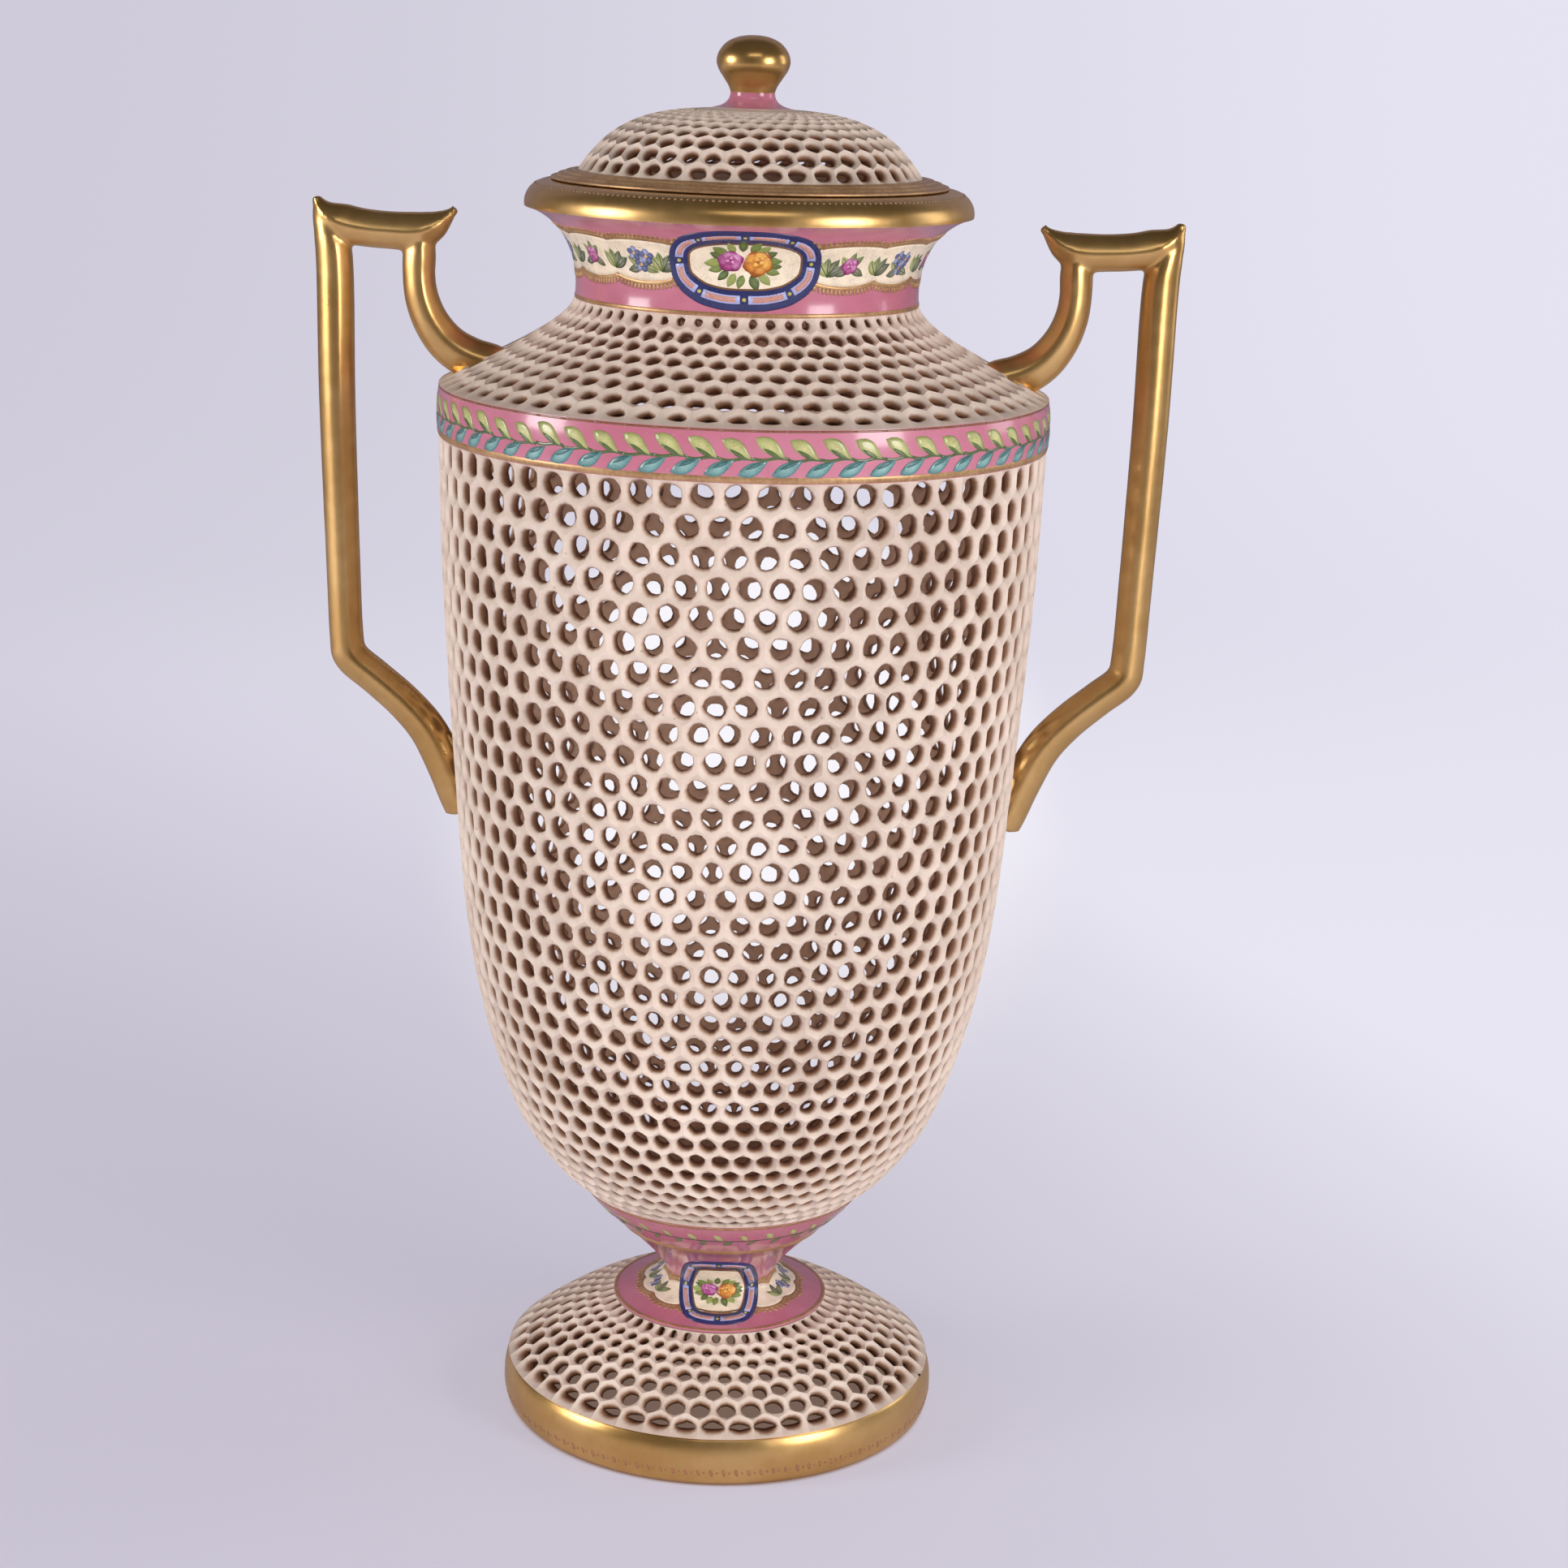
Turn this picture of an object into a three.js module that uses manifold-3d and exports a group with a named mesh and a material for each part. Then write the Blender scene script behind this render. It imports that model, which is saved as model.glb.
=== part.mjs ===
// A reticulated porcelain vase: a footed jar with pierced walls, two upright gilt handles
// and a loose pierced lid. Millimetres, +Z up, origin at the middle of the foot on the table.
// The castings are stacked on the Z axis and the handles stand on the X axis.

import * as THREE from 'three';
import { mergeVertices } from 'three/addons/utils/BufferGeometryUtils.js';
import Module from 'manifold-3d';

const wasm = await Module();
wasm.setup();

// Driving dimensions: heights of the castings, from the table up
const footRingHeight = 11.8;
const footRise = 14.6;
const stemHeight = 13.1;
const cupHeight = 17.5;
const bodyHeight = 178;
const bandHeight = 11.2;
const shoulderRise = 19.5;
const neckHeight = 19.9;
const lipRollRise = 4.1;
const lipRollDrop = 1.6;
const lidRimHeight = 3.4;
const lidRise = 13.2;
const collarHeight = 4.3;
const knobHeight = 10.9;

// Driving dimensions: outer radii
const footRadius = 52;
const stemFootRadius = 25.7;
const waistRadius = 13.2;
const stemTopRadius = 17.6;
const cupStepRadius = 24.4;
const cupRadius = 34.5;
const bodyRadius = 68.6;
const neckRadius = 38.5;
const mouthRadius = 38.5;
const collarRadius = 7.3;
const knobRadius = 8;

// Walls, ledges and clearances
const netWall = 3;
const castWall = 3.4;
const footRingWall = 4.4;
const footNetInset = 1;
const footBaseInset = 1.4;
const bandProud = 0.5;
const lidSeatWidth = 5.8;
const lipRoll = 5.2;
const lidLedge = 6.5;
const lidGap = 0.3;
const locatingDepth = 7;
const locatingWall = 3;
const locatingClearance = 0.8;
const crownRadius = 9;
const spigotRadius = 4.3;
const spigotClearance = 0.3;
const spigotLength = 3.6;
const joinGap = 0.3;

// Edges and small profile heights
const footRingRound = 2.4;
const stemEdge = 0.7;
const stemWaistHeight = 6.6;
const cupStepHeight = 6.5;
const cupStepDepth = 0.8;
const cupFloor = 4.5;
const bandRound = 1.2;
const lidEdge = 0.9;
const collarWaist = 5.2;
const knobNeckRadius = 5.6;

// Pierced nets: holes round, rows of holes and the share of each cell that is open
const bodyNet = { columns: 24, rows: 11, open: 0.68 };
const shoulderNet = { columns: 24, rows: 3, open: 0.66 };
const footNet = { columns: 24, rows: 3, open: 0.66 };
const lidNet = { columns: 20, rows: 3, open: 0.66 };
const netMargin = 2;

// Handles: how far they stand out from the jar, and rise above and drop below the band
const handleReach = 28.3;
const handleRise = 39.4;
const handleDrop = 101;
const barWidth = 8.2;
const barDepth = 9.4;

// How smooth the turned castings are
const ringSegments = 32;
const spindleSegments = 24;
const cutterSegments = 120;
const barSides = 10;

// Levels of the seams between castings
const footRingTop = footRingHeight;
const footTop = footRingTop + footRise;
const stemTop = footTop + stemHeight;
const cupTop = stemTop + cupHeight;
const bodyTop = cupTop + bodyHeight;
const bandTop = bodyTop + bandHeight;
const shoulderTop = bandTop + shoulderRise;
const neckTop = shoulderTop + neckHeight;
const lipTop = neckTop + lipRollDrop + lipRollRise;
const lidSeat = lipTop + lidGap;
const lidRimTop = lidSeat + lidRimHeight;
const crownTop = lidRimTop + lidRise;
const collarTop = crownTop + collarHeight;

// Radii that follow from the ones above
const footNetRadius = footRadius - footNetInset;
const footBaseRadius = footRadius - footBaseInset;
const bandRadius = bodyRadius + bandProud;
const lidRadius = mouthRadius + lidSeatWidth;
const lipCentreRadius = lidRadius + lipRoll / 10;
const lidDomeRadius = lidRadius - lidLedge;
const crownHole = spigotRadius + spigotClearance;

const point = (r, z) => new THREE.Vector2(r, z);

// Outer profiles of the castings, from bottom to top, as radius and height
const footProfile = new THREE.QuadraticBezierCurve(
  point(footNetRadius, footRingTop),
  point(THREE.MathUtils.lerp(footNetRadius, stemFootRadius, 0.53), footTop - 0.27 * footRise),
  point(stemFootRadius, footTop),
);

// The swell of the jar: shares of its height and of its gain in radius
const swell = [
  [0, 0], [0.035, 0.2], [0.11, 0.455], [0.235, 0.67], [0.38, 0.805], [0.6, 0.9], [0.82, 0.972], [1, 1],
];
const bodyProfile = new THREE.SplineCurve(swell.map(([up, out]) => (
  point(cupRadius + out * (bodyRadius - cupRadius), cupTop + up * bodyHeight)
)));

const shoulderProfile = new THREE.CubicBezierCurve(
  point(bodyRadius, bandTop),
  point(THREE.MathUtils.lerp(bodyRadius, neckRadius, 0.48), bandTop + 0.4 * shoulderRise),
  point(THREE.MathUtils.lerp(bodyRadius, neckRadius, 0.93), bandTop + 0.68 * shoulderRise),
  point(neckRadius, shoulderTop),
);

const lidProfile = new THREE.CubicBezierCurve(
  point(lidDomeRadius, lidRimTop),
  point(THREE.MathUtils.lerp(lidDomeRadius, crownRadius, 0.2), lidRimTop + 0.6 * lidRise),
  point(THREE.MathUtils.lerp(lidDomeRadius, crownRadius, 0.44), crownTop - 0.1 * lidRise),
  point(crownRadius, crownTop),
);

// The lip's underside starts where its roll, an ellipse, has dropped to the top of the neck
const rollStart = -Math.asin(lipRollDrop / (lipRollRise + lipRollDrop)) * 1.4;
const lipUnderRadius = lipCentreRadius + lipRoll * Math.cos(rollStart);

const neckProfile = new THREE.CubicBezierCurve(
  point(neckRadius, shoulderTop),
  point(neckRadius - 0.9, shoulderTop + 0.44 * neckHeight),
  point(THREE.MathUtils.lerp(neckRadius, lipUnderRadius, 0.18), shoulderTop + 0.84 * neckHeight),
  point(lipUnderRadius, neckTop),
);

const normalAt = (profile, u) => {
  const along = profile.getTangent(u);
  return point(along.y, -along.x);
};

// Radius of a pierced wall's inner edge at a seam, where the wall is cut level
const seamInner = (profile, u) => profile.getPoint(u).x - netWall / normalAt(profile, u).x;

// Turns a list of corners into one closed mesh, with its faces pointing out
function closedGeometry(positions, triangles) {
  let volume = 0;
  const corner = [new THREE.Vector3(), new THREE.Vector3(), new THREE.Vector3()];
  for (let t = 0; t < triangles.length; t += 3) {
    corner.forEach((v, k) => v.fromArray(positions, 3 * triangles[t + k]));
    volume += corner[0].dot(corner[1].cross(corner[2]));
  }
  const faces = volume < 0 ? triangles.slice().reverse() : triangles;
  const geometry = new THREE.BufferGeometry();
  geometry.setAttribute('position', new THREE.Float32BufferAttribute(positions, 3));
  geometry.setIndex(faces);
  return geometry;
}

// Merges a geometry's shared corners and drops the empty triangles at a pole
function merged(geometry) {
  geometry.deleteAttribute('normal');
  geometry.deleteAttribute('uv');
  const joined = mergeVertices(geometry, 1e-4);
  const index = Array.from(joined.index.array);
  const faces = [];
  for (let t = 0; t < index.length; t += 3) {
    const [a, b, c] = index.slice(t, t + 3);
    if (a !== b && b !== c && c !== a) faces.push(a, b, c);
  }
  return closedGeometry(Array.from(joined.attributes.position.array), faces);
}

// A turned casting: outline is a list of radius and height points, closed unless it meets the axis
function turned(outline, segments) {
  const onAxis = outline[0].x === 0;
  const loop = onAxis ? outline : [...outline, outline[0]];
  const geometry = new THREE.LatheGeometry(loop, segments);
  geometry.rotateX(Math.PI / 2);
  return merged(geometry);
}

// Places along a profile where a net's rows lie, each step in proportion to the radius there,
// so that every cell keeps its proportions while the wall narrows
function rowPlaces(profile, rows, marginLow, marginHigh) {
  const samples = 400;
  const length = profile.getLength();
  const from = marginLow / length;
  const to = 1 - marginHigh / length;
  const reach = [0];
  for (let k = 1; k <= samples; k += 1) {
    const middle = profile.getPointAt(from + (to - from) * (k - 0.5) / samples);
    reach.push(reach[k - 1] + 1 / middle.x);
  }
  const places = [];
  for (let row = 0; row <= rows + 1; row += 1) {
    const wanted = reach[samples] * row / (rows + 1);
    let k = 0;
    while (k < samples - 1 && reach[k + 1] < wanted) k += 1;
    const share = (wanted - reach[k]) / (reach[k + 1] - reach[k]);
    places.push(from + (to - from) * (k + share) / samples);
  }
  return places;
}

// The solid margin beside a level seam: a wall that leans over its seam needs a wider one,
// so that its inside doesn't reach past the seam
function seamMargin(profile, u) {
  const normal = normalAt(profile, u);
  const lean = u === 0 ? normal.y : -normal.y;
  return Math.max(netMargin, netWall * lean / normal.x + netMargin / 4);
}

// A pierced wall: a turned shell whose rows of lozenge holes are set half a cell apart
function netShell(profile, net, hole) {
  const low = seamMargin(profile, 0);
  const high = hole === undefined ? seamMargin(profile, 1) : 0;
  const places = rowPlaces(profile, net.rows, low, high);
  const levels = places.map((place) => {
    const u = profile.getUtoTmapping(place);
    const outer = profile.getPoint(u);
    return { outer, inner: outer.clone().addScaledVector(normalAt(profile, u), -netWall) };
  });
  const bottom = profile.getPoint(0);
  const top = profile.getPoint(1);
  const lowRim = { outer: bottom, inner: point(seamInner(profile, 0), bottom.y) };
  const highRim = hole === undefined
    ? { outer: top, inner: point(seamInner(profile, 1), top.y) }
    : { outer: point(hole, top.y), inner: point(hole, top.y - netWall) };

  const positions = [];
  const triangles = [];
  const add = (r, z, turn) => {
    const angle = turn * 2 * Math.PI / net.columns;
    positions.push(r * Math.cos(angle), r * Math.sin(angle), z);
    return positions.length / 3 - 1;
  };
  const quad = (a, b, c, d) => triangles.push(a, b, c, a, c, d);
  const ring = (level, offset) => {
    const corners = { outer: [], inner: [] };
    for (let column = 0; column < net.columns; column += 1) {
      corners.outer.push(add(level.outer.x, level.outer.y, column + offset));
      corners.inner.push(add(level.inner.x, level.inner.y, column + offset));
    }
    return corners;
  };
  const after = (column) => (column + 1) % net.columns;
  const offsetOf = (row) => (row % 2) / 2;
  const lastRow = levels.length - 1;
  const rings = levels.map((level, row) => ring(level, offsetOf(row)));
  const below = ring(lowRim, 0);
  const above = ring(highRim, offsetOf(lastRow));

  for (let column = 0; column < net.columns; column += 1) {
    const next = after(column);
    const first = rings[0];
    const last = rings[lastRow];
    quad(below.outer[column], below.outer[next], first.outer[next], first.outer[column]);
    quad(below.inner[next], below.inner[column], first.inner[column], first.inner[next]);
    quad(below.inner[column], below.inner[next], below.outer[next], below.outer[column]);
    quad(last.outer[column], last.outer[next], above.outer[next], above.outer[column]);
    quad(last.inner[next], last.inner[column], above.inner[column], above.inner[next]);
    quad(above.outer[column], above.outer[next], above.inner[next], above.inner[column]);
  }

  // The solid triangles between a margin and the first or last row of cells
  const second = rings[1];
  const nextToLast = rings[lastRow - 1];
  for (let column = 0; column < net.columns; column += 1) {
    const next = after(column);
    const apex = column;
    triangles.push(rings[0].outer[column], rings[0].outer[next], second.outer[apex]);
    triangles.push(rings[0].inner[next], rings[0].inner[column], second.inner[apex]);
    const tip = offsetOf(lastRow) === 0 ? column : next;
    triangles.push(rings[lastRow].outer[next], rings[lastRow].outer[column], nextToLast.outer[tip]);
    triangles.push(rings[lastRow].inner[column], rings[lastRow].inner[next], nextToLast.inner[tip]);
  }

  const towardsMiddle = (corners) => {
    const at = corners.map((k) => new THREE.Vector3().fromArray(positions, 3 * k));
    const middle = at.reduce((sum, v) => sum.add(v), new THREE.Vector3()).divideScalar(at.length);
    return at.map((v) => {
      const inset = middle.clone().lerp(v, net.open);
      positions.push(inset.x, inset.y, inset.z);
      return positions.length / 3 - 1;
    });
  };
  for (let row = 1; row < lastRow; row += 1) {
    for (let column = 0; column < net.columns; column += 1) {
      const next = after(column);
      const neighbour = offsetOf(row) === 0 ? column : next;
      const cell = (side) => [
        rings[row - 1][side][neighbour], rings[row][side][next],
        rings[row + 1][side][neighbour], rings[row][side][column],
      ];
      const outer = cell('outer');
      const inner = cell('inner');
      const outerHole = towardsMiddle(outer);
      const innerHole = towardsMiddle(inner);
      for (let k = 0; k < 4; k += 1) {
        const m = (k + 1) % 4;
        quad(outer[k], outer[m], outerHole[m], outerHole[k]);
        quad(outerHole[k], outerHole[m], innerHole[m], innerHole[k]);
        quad(innerHole[k], innerHole[m], inner[m], inner[k]);
      }
    }
  }
  return closedGeometry(positions, triangles);
}

// Castings from the foot to the lip

function footRing() {
  return turned([
    point(footBaseRadius, 0),
    point(footRadius - 0.1 * footRingRound, footRingRound),
    point(footRadius, footRingTop / 2),
    point(footRadius - 0.2 * footRingRound, footRingTop - footRingRound / 2),
    point(footNetRadius, footRingTop),
    point(footNetRadius - footRingWall, footRingTop),
    point(footBaseRadius - footRingWall, footRingRound / 4),
    point(footBaseRadius - footRingWall + footRingRound / 4, 0),
  ], ringSegments);
}

function stem() {
  const waist = footTop + stemWaistHeight;
  const bore = waistRadius - castWall;
  const flareFoot = footTop + stemEdge;
  const flare = new THREE.CubicBezierCurve(
    point(stemFootRadius, flareFoot),
    point(THREE.MathUtils.lerp(waistRadius, stemFootRadius, 0.42), flareFoot + 0.18 * stemWaistHeight),
    point(waistRadius, footTop + 0.47 * stemWaistHeight),
    point(waistRadius, waist),
  );
  const spool = new THREE.QuadraticBezierCurve(
    point(waistRadius, waist),
    point(waistRadius + 0.2, waist + 0.2 * (stemTop - waist)),
    point(stemTopRadius, stemTop),
  );
  return turned([
    point(stemFootRadius, footTop),
    ...flare.getPoints(6),
    ...spool.getPoints(3).slice(1),
    point(bore, stemTop),
    point(bore, footTop + 0.6 * stemWaistHeight),
    point(stemFootRadius - 2 * castWall, footTop),
  ], spindleSegments);
}

function bodyCup() {
  const step = stemTop + cupStepHeight;
  const bowl = new THREE.QuadraticBezierCurve(
    point(cupStepRadius + cupStepDepth / 2, step + cupStepDepth),
    point(THREE.MathUtils.lerp(cupStepRadius, cupRadius, 0.6), step + 0.45 * (cupTop - step)),
    point(cupRadius, cupTop),
  );
  return turned([
    point(0, stemTop),
    point(stemTopRadius, stemTop),
    point(cupStepRadius - cupStepDepth / 2, step),
    ...bowl.getPoints(3),
    point(seamInner(bodyProfile, 0), cupTop),
    point(cupStepRadius - castWall, step + cupFloor / 2),
    point(cupStepRadius - 2 * castWall, stemTop + cupFloor),
    point(0, stemTop + cupFloor),
  ], ringSegments);
}

function shoulderBand() {
  const inner = bodyRadius - castWall;
  return turned([
    point(bodyRadius, bodyTop),
    point(bandRadius, bodyTop + bandRound),
    point(bandRadius, bandTop - bandRound),
    point(bodyRadius, bandTop),
    point(inner, bandTop),
    point(inner, bodyTop),
  ], ringSegments);
}

function neck() {
  const inner = neckRadius - castWall;
  return turned([
    ...neckProfile.getPoints(8),
    point(mouthRadius, neckTop),
    point(Math.min(inner, mouthRadius), neckTop - 0.45 * neckHeight),
    point(inner, shoulderTop),
  ], ringSegments);
}

function mouthLip() {
  const roll = [];
  const steps = 6;
  const centre = neckTop + lipRollDrop;
  for (let k = 1; k <= steps; k += 1) {
    const angle = THREE.MathUtils.lerp(rollStart, Math.PI / 2, k / steps);
    roll.push(point(
      lipCentreRadius + lipRoll * Math.cos(angle),
      k === steps ? lipTop : centre + lipRollRise * Math.sin(angle),
    ));
  }
  return turned([
    point(lipUnderRadius, neckTop),
    ...roll,
    point(mouthRadius, lipTop),
    point(mouthRadius, neckTop),
  ], ringSegments);
}

// Pieces of the loose lid

function lidRim() {
  const inner = seamInner(lidProfile, 0);
  return turned([
    point(lidRadius, lidSeat),
    point(lidRadius, lidSeat + lidEdge),
    point(THREE.MathUtils.lerp(lidDomeRadius, lidRadius, 0.5), lidSeat + 0.55 * lidRimHeight),
    point(lidDomeRadius + 0.6, lidRimTop - 0.3),
    point(lidDomeRadius, lidRimTop),
    point(inner, lidRimTop),
    point(inner, lidSeat),
  ], ringSegments);
}

function lidLocatingRing() {
  const outer = mouthRadius - locatingClearance;
  return turned([
    point(outer - locatingWall, lidSeat - locatingDepth),
    point(outer - locatingWall / 4, lidSeat - locatingDepth),
    point(outer, lidSeat - 0.85 * locatingDepth),
    point(outer, lidSeat),
    point(outer - locatingWall, lidSeat),
  ], ringSegments);
}

function lidCollar() {
  return turned([
    point(0, crownTop - spigotLength),
    point(spigotRadius, crownTop - spigotLength),
    point(spigotRadius, crownTop),
    point(collarRadius, crownTop),
    point(THREE.MathUtils.lerp(collarWaist, collarRadius, 0.3), crownTop + 0.3 * collarHeight),
    point(collarWaist, crownTop + 0.7 * collarHeight),
    point(knobNeckRadius, collarTop),
    point(0, collarTop),
  ], spindleSegments);
}

function lidKnob() {
  const ball = new THREE.SplineCurve([
    point(knobNeckRadius, collarTop),
    point(0.86 * knobRadius, collarTop + 0.18 * knobHeight),
    point(knobRadius, collarTop + 0.46 * knobHeight),
    point(0.88 * knobRadius, collarTop + 0.74 * knobHeight),
    point(0.5 * knobRadius, collarTop + 0.93 * knobHeight),
    point(0, collarTop + knobHeight),
  ]);
  const outline = ball.getPoints(9);
  outline[outline.length - 1].x = 0;
  return turned([point(0, collarTop), ...outline], spindleSegments);
}

// The upright handle is three tapering bars in the XZ plane. Each station of a bar gives its
// place, as shares of the reach and of the rise or drop, and its width as a share of barWidth.
const gripStations = [
  [0.993, 0.99, 0.12], [0.94, 0.895, 0.5], [0.872, 0.775, 0.9], [0.838, 0.6, 1.02], [0.825, -0.06, 1],
  [0.785, -0.42, 0.95], [0.76, -0.595, 0.95], [0.72, -0.643, 1], [0.53, -0.688, 1], [0.295, -0.745, 1.03],
  [0.1, -0.808, 1.07], [-0.045, -0.888, 1.09], [-0.14, -0.963, 1], [-0.175, -1, 0.85],
];
const topStations = [
  [-0.117, 0.942, 0.1], [-0.042, 0.898, 0.42], [0.06, 0.848, 0.78], [0.19, 0.817, 0.97], [0.4, 0.817, 0.93],
  [0.615, 0.827, 0.95], [0.79, 0.853, 0.98], [0.915, 0.909, 0.64], [0.982, 0.982, 0.15],
];
const scrollStations = [
  [0.166, 0.833, 0.7], [0.17, 0.705, 0.9], [0.173, 0.574, 0.89], [0.148, 0.447, 0.93], [0.074, 0.315, 1],
  [-0.057, 0.195, 1.1], [-0.233, 0.118, 1.17], [-0.42, 0.088, 1.1], [-0.52, 0.083, 0.9],
];

// Fills out a circle's cosine or sine a little, towards a rounded square
const squared = (share) => Math.sign(share) * Math.abs(share) ** 0.8;

// One bar: rounded sections square to its run, from station to station, closed at both ends
function bar(stations) {
  const run = stations.map(([out, up]) => (
    point(bodyRadius + out * handleReach, bandTop + up * (up > 0 ? handleRise : handleDrop))
  ));
  const positions = [];
  const triangles = [];
  run.forEach((at, k) => {
    const from = run[Math.max(k - 1, 0)];
    const to = run[Math.min(k + 1, run.length - 1)];
    const across = point(to.y - from.y, from.x - to.x).normalize();
    const width = stations[k][2] * barWidth;
    const depth = Math.min(1, stations[k][2]) ** 0.7 * barDepth;
    for (let side = 0; side < barSides; side += 1) {
      const angle = 2 * Math.PI * side / barSides;
      const wide = squared(Math.cos(angle)) * width / 2;
      const deep = squared(Math.sin(angle)) * depth / 2;
      positions.push(at.x + across.x * wide, deep, at.y + across.y * wide);
    }
  });
  const corner = (k, side) => k * barSides + (side % barSides);
  const last = run.length - 1;
  for (let side = 0; side < barSides; side += 1) {
    for (let k = 0; k < last; k += 1) {
      triangles.push(corner(k, side), corner(k + 1, side), corner(k + 1, side + 1));
      triangles.push(corner(k, side), corner(k + 1, side + 1), corner(k, side + 1));
    }
    if (side > 0 && side < barSides - 1) {
      triangles.push(corner(0, 0), corner(0, side), corner(0, side + 1));
      triangles.push(corner(last, 0), corner(last, side + 1), corner(last, side));
    }
  }
  return toManifold(closedGeometry(positions, triangles));
}

const toManifold = (geometry) => new wasm.Manifold(new wasm.Mesh({
  numProp: 3,
  vertProperties: new Float32Array(geometry.attributes.position.array),
  triVerts: new Uint32Array(geometry.index.array),
}));

function fromManifold(solid) {
  const mesh = solid.getMesh();
  return closedGeometry(Array.from(mesh.vertProperties), Array.from(mesh.triVerts));
}

// The jar's outside, standing off by the joint's gap, which cuts the handles' ends to fit
function jarCutter() {
  const standOff = (profile, steps) => {
    const points = [];
    for (let k = 0; k <= steps; k += 1) {
      const normal = normalAt(profile, k / steps);
      points.push(profile.getPoint(k / steps).addScaledVector(normal, joinGap));
    }
    return points;
  };
  const outline = [
    ...standOff(bodyProfile, 40),
    point(bandRadius + joinGap, bodyTop + bandRound),
    point(bandRadius + joinGap, bandTop - bandRound),
    ...standOff(shoulderProfile, 16),
  ];
  const first = outline[0];
  const last = outline[outline.length - 1];
  return toManifold(turned([point(0, first.y), ...outline, point(0, last.y)], cutterSegments));
}

const porcelain = (color) => new THREE.MeshStandardMaterial({ color, roughness: 0.55, metalness: 0 });
const enamel = (color) => new THREE.MeshStandardMaterial({ color, roughness: 0.2, metalness: 0 });
const gilding = () => new THREE.MeshStandardMaterial({ color: 0xb98b3f, roughness: 0.28, metalness: 1 });

const ivory = 0xe5d3c2;
const rose = 0xcd7891;
const vase = new THREE.Group();

function place(parent, name, geometry, material) {
  const mesh = new THREE.Mesh(geometry, material);
  mesh.name = name;
  parent.add(mesh);
  return mesh;
}

place(vase, 'foot_ring', footRing(), gilding());
place(vase, 'foot_lattice', netShell(footProfile, footNet), porcelain(ivory));
place(vase, 'stem', stem(), enamel(rose));
place(vase, 'body_cup', bodyCup(), enamel(rose));
place(vase, 'body_lattice', netShell(bodyProfile, bodyNet), porcelain(ivory));
place(vase, 'shoulder_band', shoulderBand(), enamel(rose));
place(vase, 'shoulder_lattice', netShell(shoulderProfile, shoulderNet), porcelain(ivory));
place(vase, 'neck', neck(), enamel(rose));
place(vase, 'mouth_lip', mouthLip(), gilding());

const handleBars = bar(gripStations).add(bar(topStations)).add(bar(scrollStations));
const handle = fromManifold(handleBars.subtract(jarCutter()));
place(vase, 'handle_right', handle, gilding());
const leftHandle = place(vase, 'handle_left', handle.clone(), gilding());
leftHandle.rotation.z = Math.PI;

const lid = new THREE.Group();
vase.add(lid);
place(lid, 'lid_rim', lidRim(), gilding());
place(lid, 'lid_locating_ring', lidLocatingRing(), porcelain(ivory));
place(lid, 'lid_lattice', netShell(lidProfile, lidNet, crownHole), porcelain(ivory));
place(lid, 'lid_collar', lidCollar(), enamel(rose));
place(lid, 'lid_knob', lidKnob(), gilding());

export default vase;
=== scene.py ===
import math
import random

import bmesh
import bpy
import numpy as np
from mathutils import Matrix, Vector


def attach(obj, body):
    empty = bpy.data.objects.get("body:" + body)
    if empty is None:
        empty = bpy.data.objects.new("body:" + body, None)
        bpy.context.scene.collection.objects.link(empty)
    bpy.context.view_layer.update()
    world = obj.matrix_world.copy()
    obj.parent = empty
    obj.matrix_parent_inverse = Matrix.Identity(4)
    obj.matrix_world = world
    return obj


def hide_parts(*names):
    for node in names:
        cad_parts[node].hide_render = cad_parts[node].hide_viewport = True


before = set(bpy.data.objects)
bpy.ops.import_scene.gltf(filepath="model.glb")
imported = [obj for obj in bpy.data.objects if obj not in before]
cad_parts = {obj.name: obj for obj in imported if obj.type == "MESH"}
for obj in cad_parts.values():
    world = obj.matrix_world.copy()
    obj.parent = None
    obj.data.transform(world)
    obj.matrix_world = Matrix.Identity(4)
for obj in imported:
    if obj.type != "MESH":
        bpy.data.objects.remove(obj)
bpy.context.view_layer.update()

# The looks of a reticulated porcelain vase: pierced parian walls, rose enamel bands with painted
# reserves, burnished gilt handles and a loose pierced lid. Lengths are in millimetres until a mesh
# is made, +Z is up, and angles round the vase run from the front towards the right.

MM = 0.001
TURN = 2 * math.pi
scene = bpy.context.scene


# Curves and profiles, as rows of radius and height

def bezier(corners, steps):
    """Points along a Bezier curve of any degree."""
    share = np.linspace(0, 1, steps + 1)[:, None]
    points = [np.array(corner, float) * np.ones_like(share) for corner in corners]
    while len(points) > 1:
        points = [(1 - share) * a + share * b for a, b in zip(points, points[1:])]
    return points[0]


def spline(corners, steps):
    """Points along a Catmull-Rom curve, with the given steps between corners."""
    ends = np.vstack([corners[:1], corners, corners[-1:]]).astype(float)
    points = []
    for before, start, stop, after in zip(ends, ends[1:], ends[2:], ends[3:]):
        leave = (stop - before) / 2
        arrive = (after - start) / 2
        for share in np.arange(steps) / steps:
            points.append(
                (2 * start - 2 * stop + leave + arrive) * share ** 3
                + (3 * stop - 3 * start - 2 * leave - arrive) * share ** 2
                + leave * share + start
            )
    return np.array(points + [ends[-1]])


def joined(*runs):
    """One profile from runs that meet end to end."""
    first, *rest = [np.array(run, float) for run in runs]
    for run in rest:
        meets = np.allclose(first[-1], run[0])
        first = np.vstack([first, run[1:] if meets else run])
    return first


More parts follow.
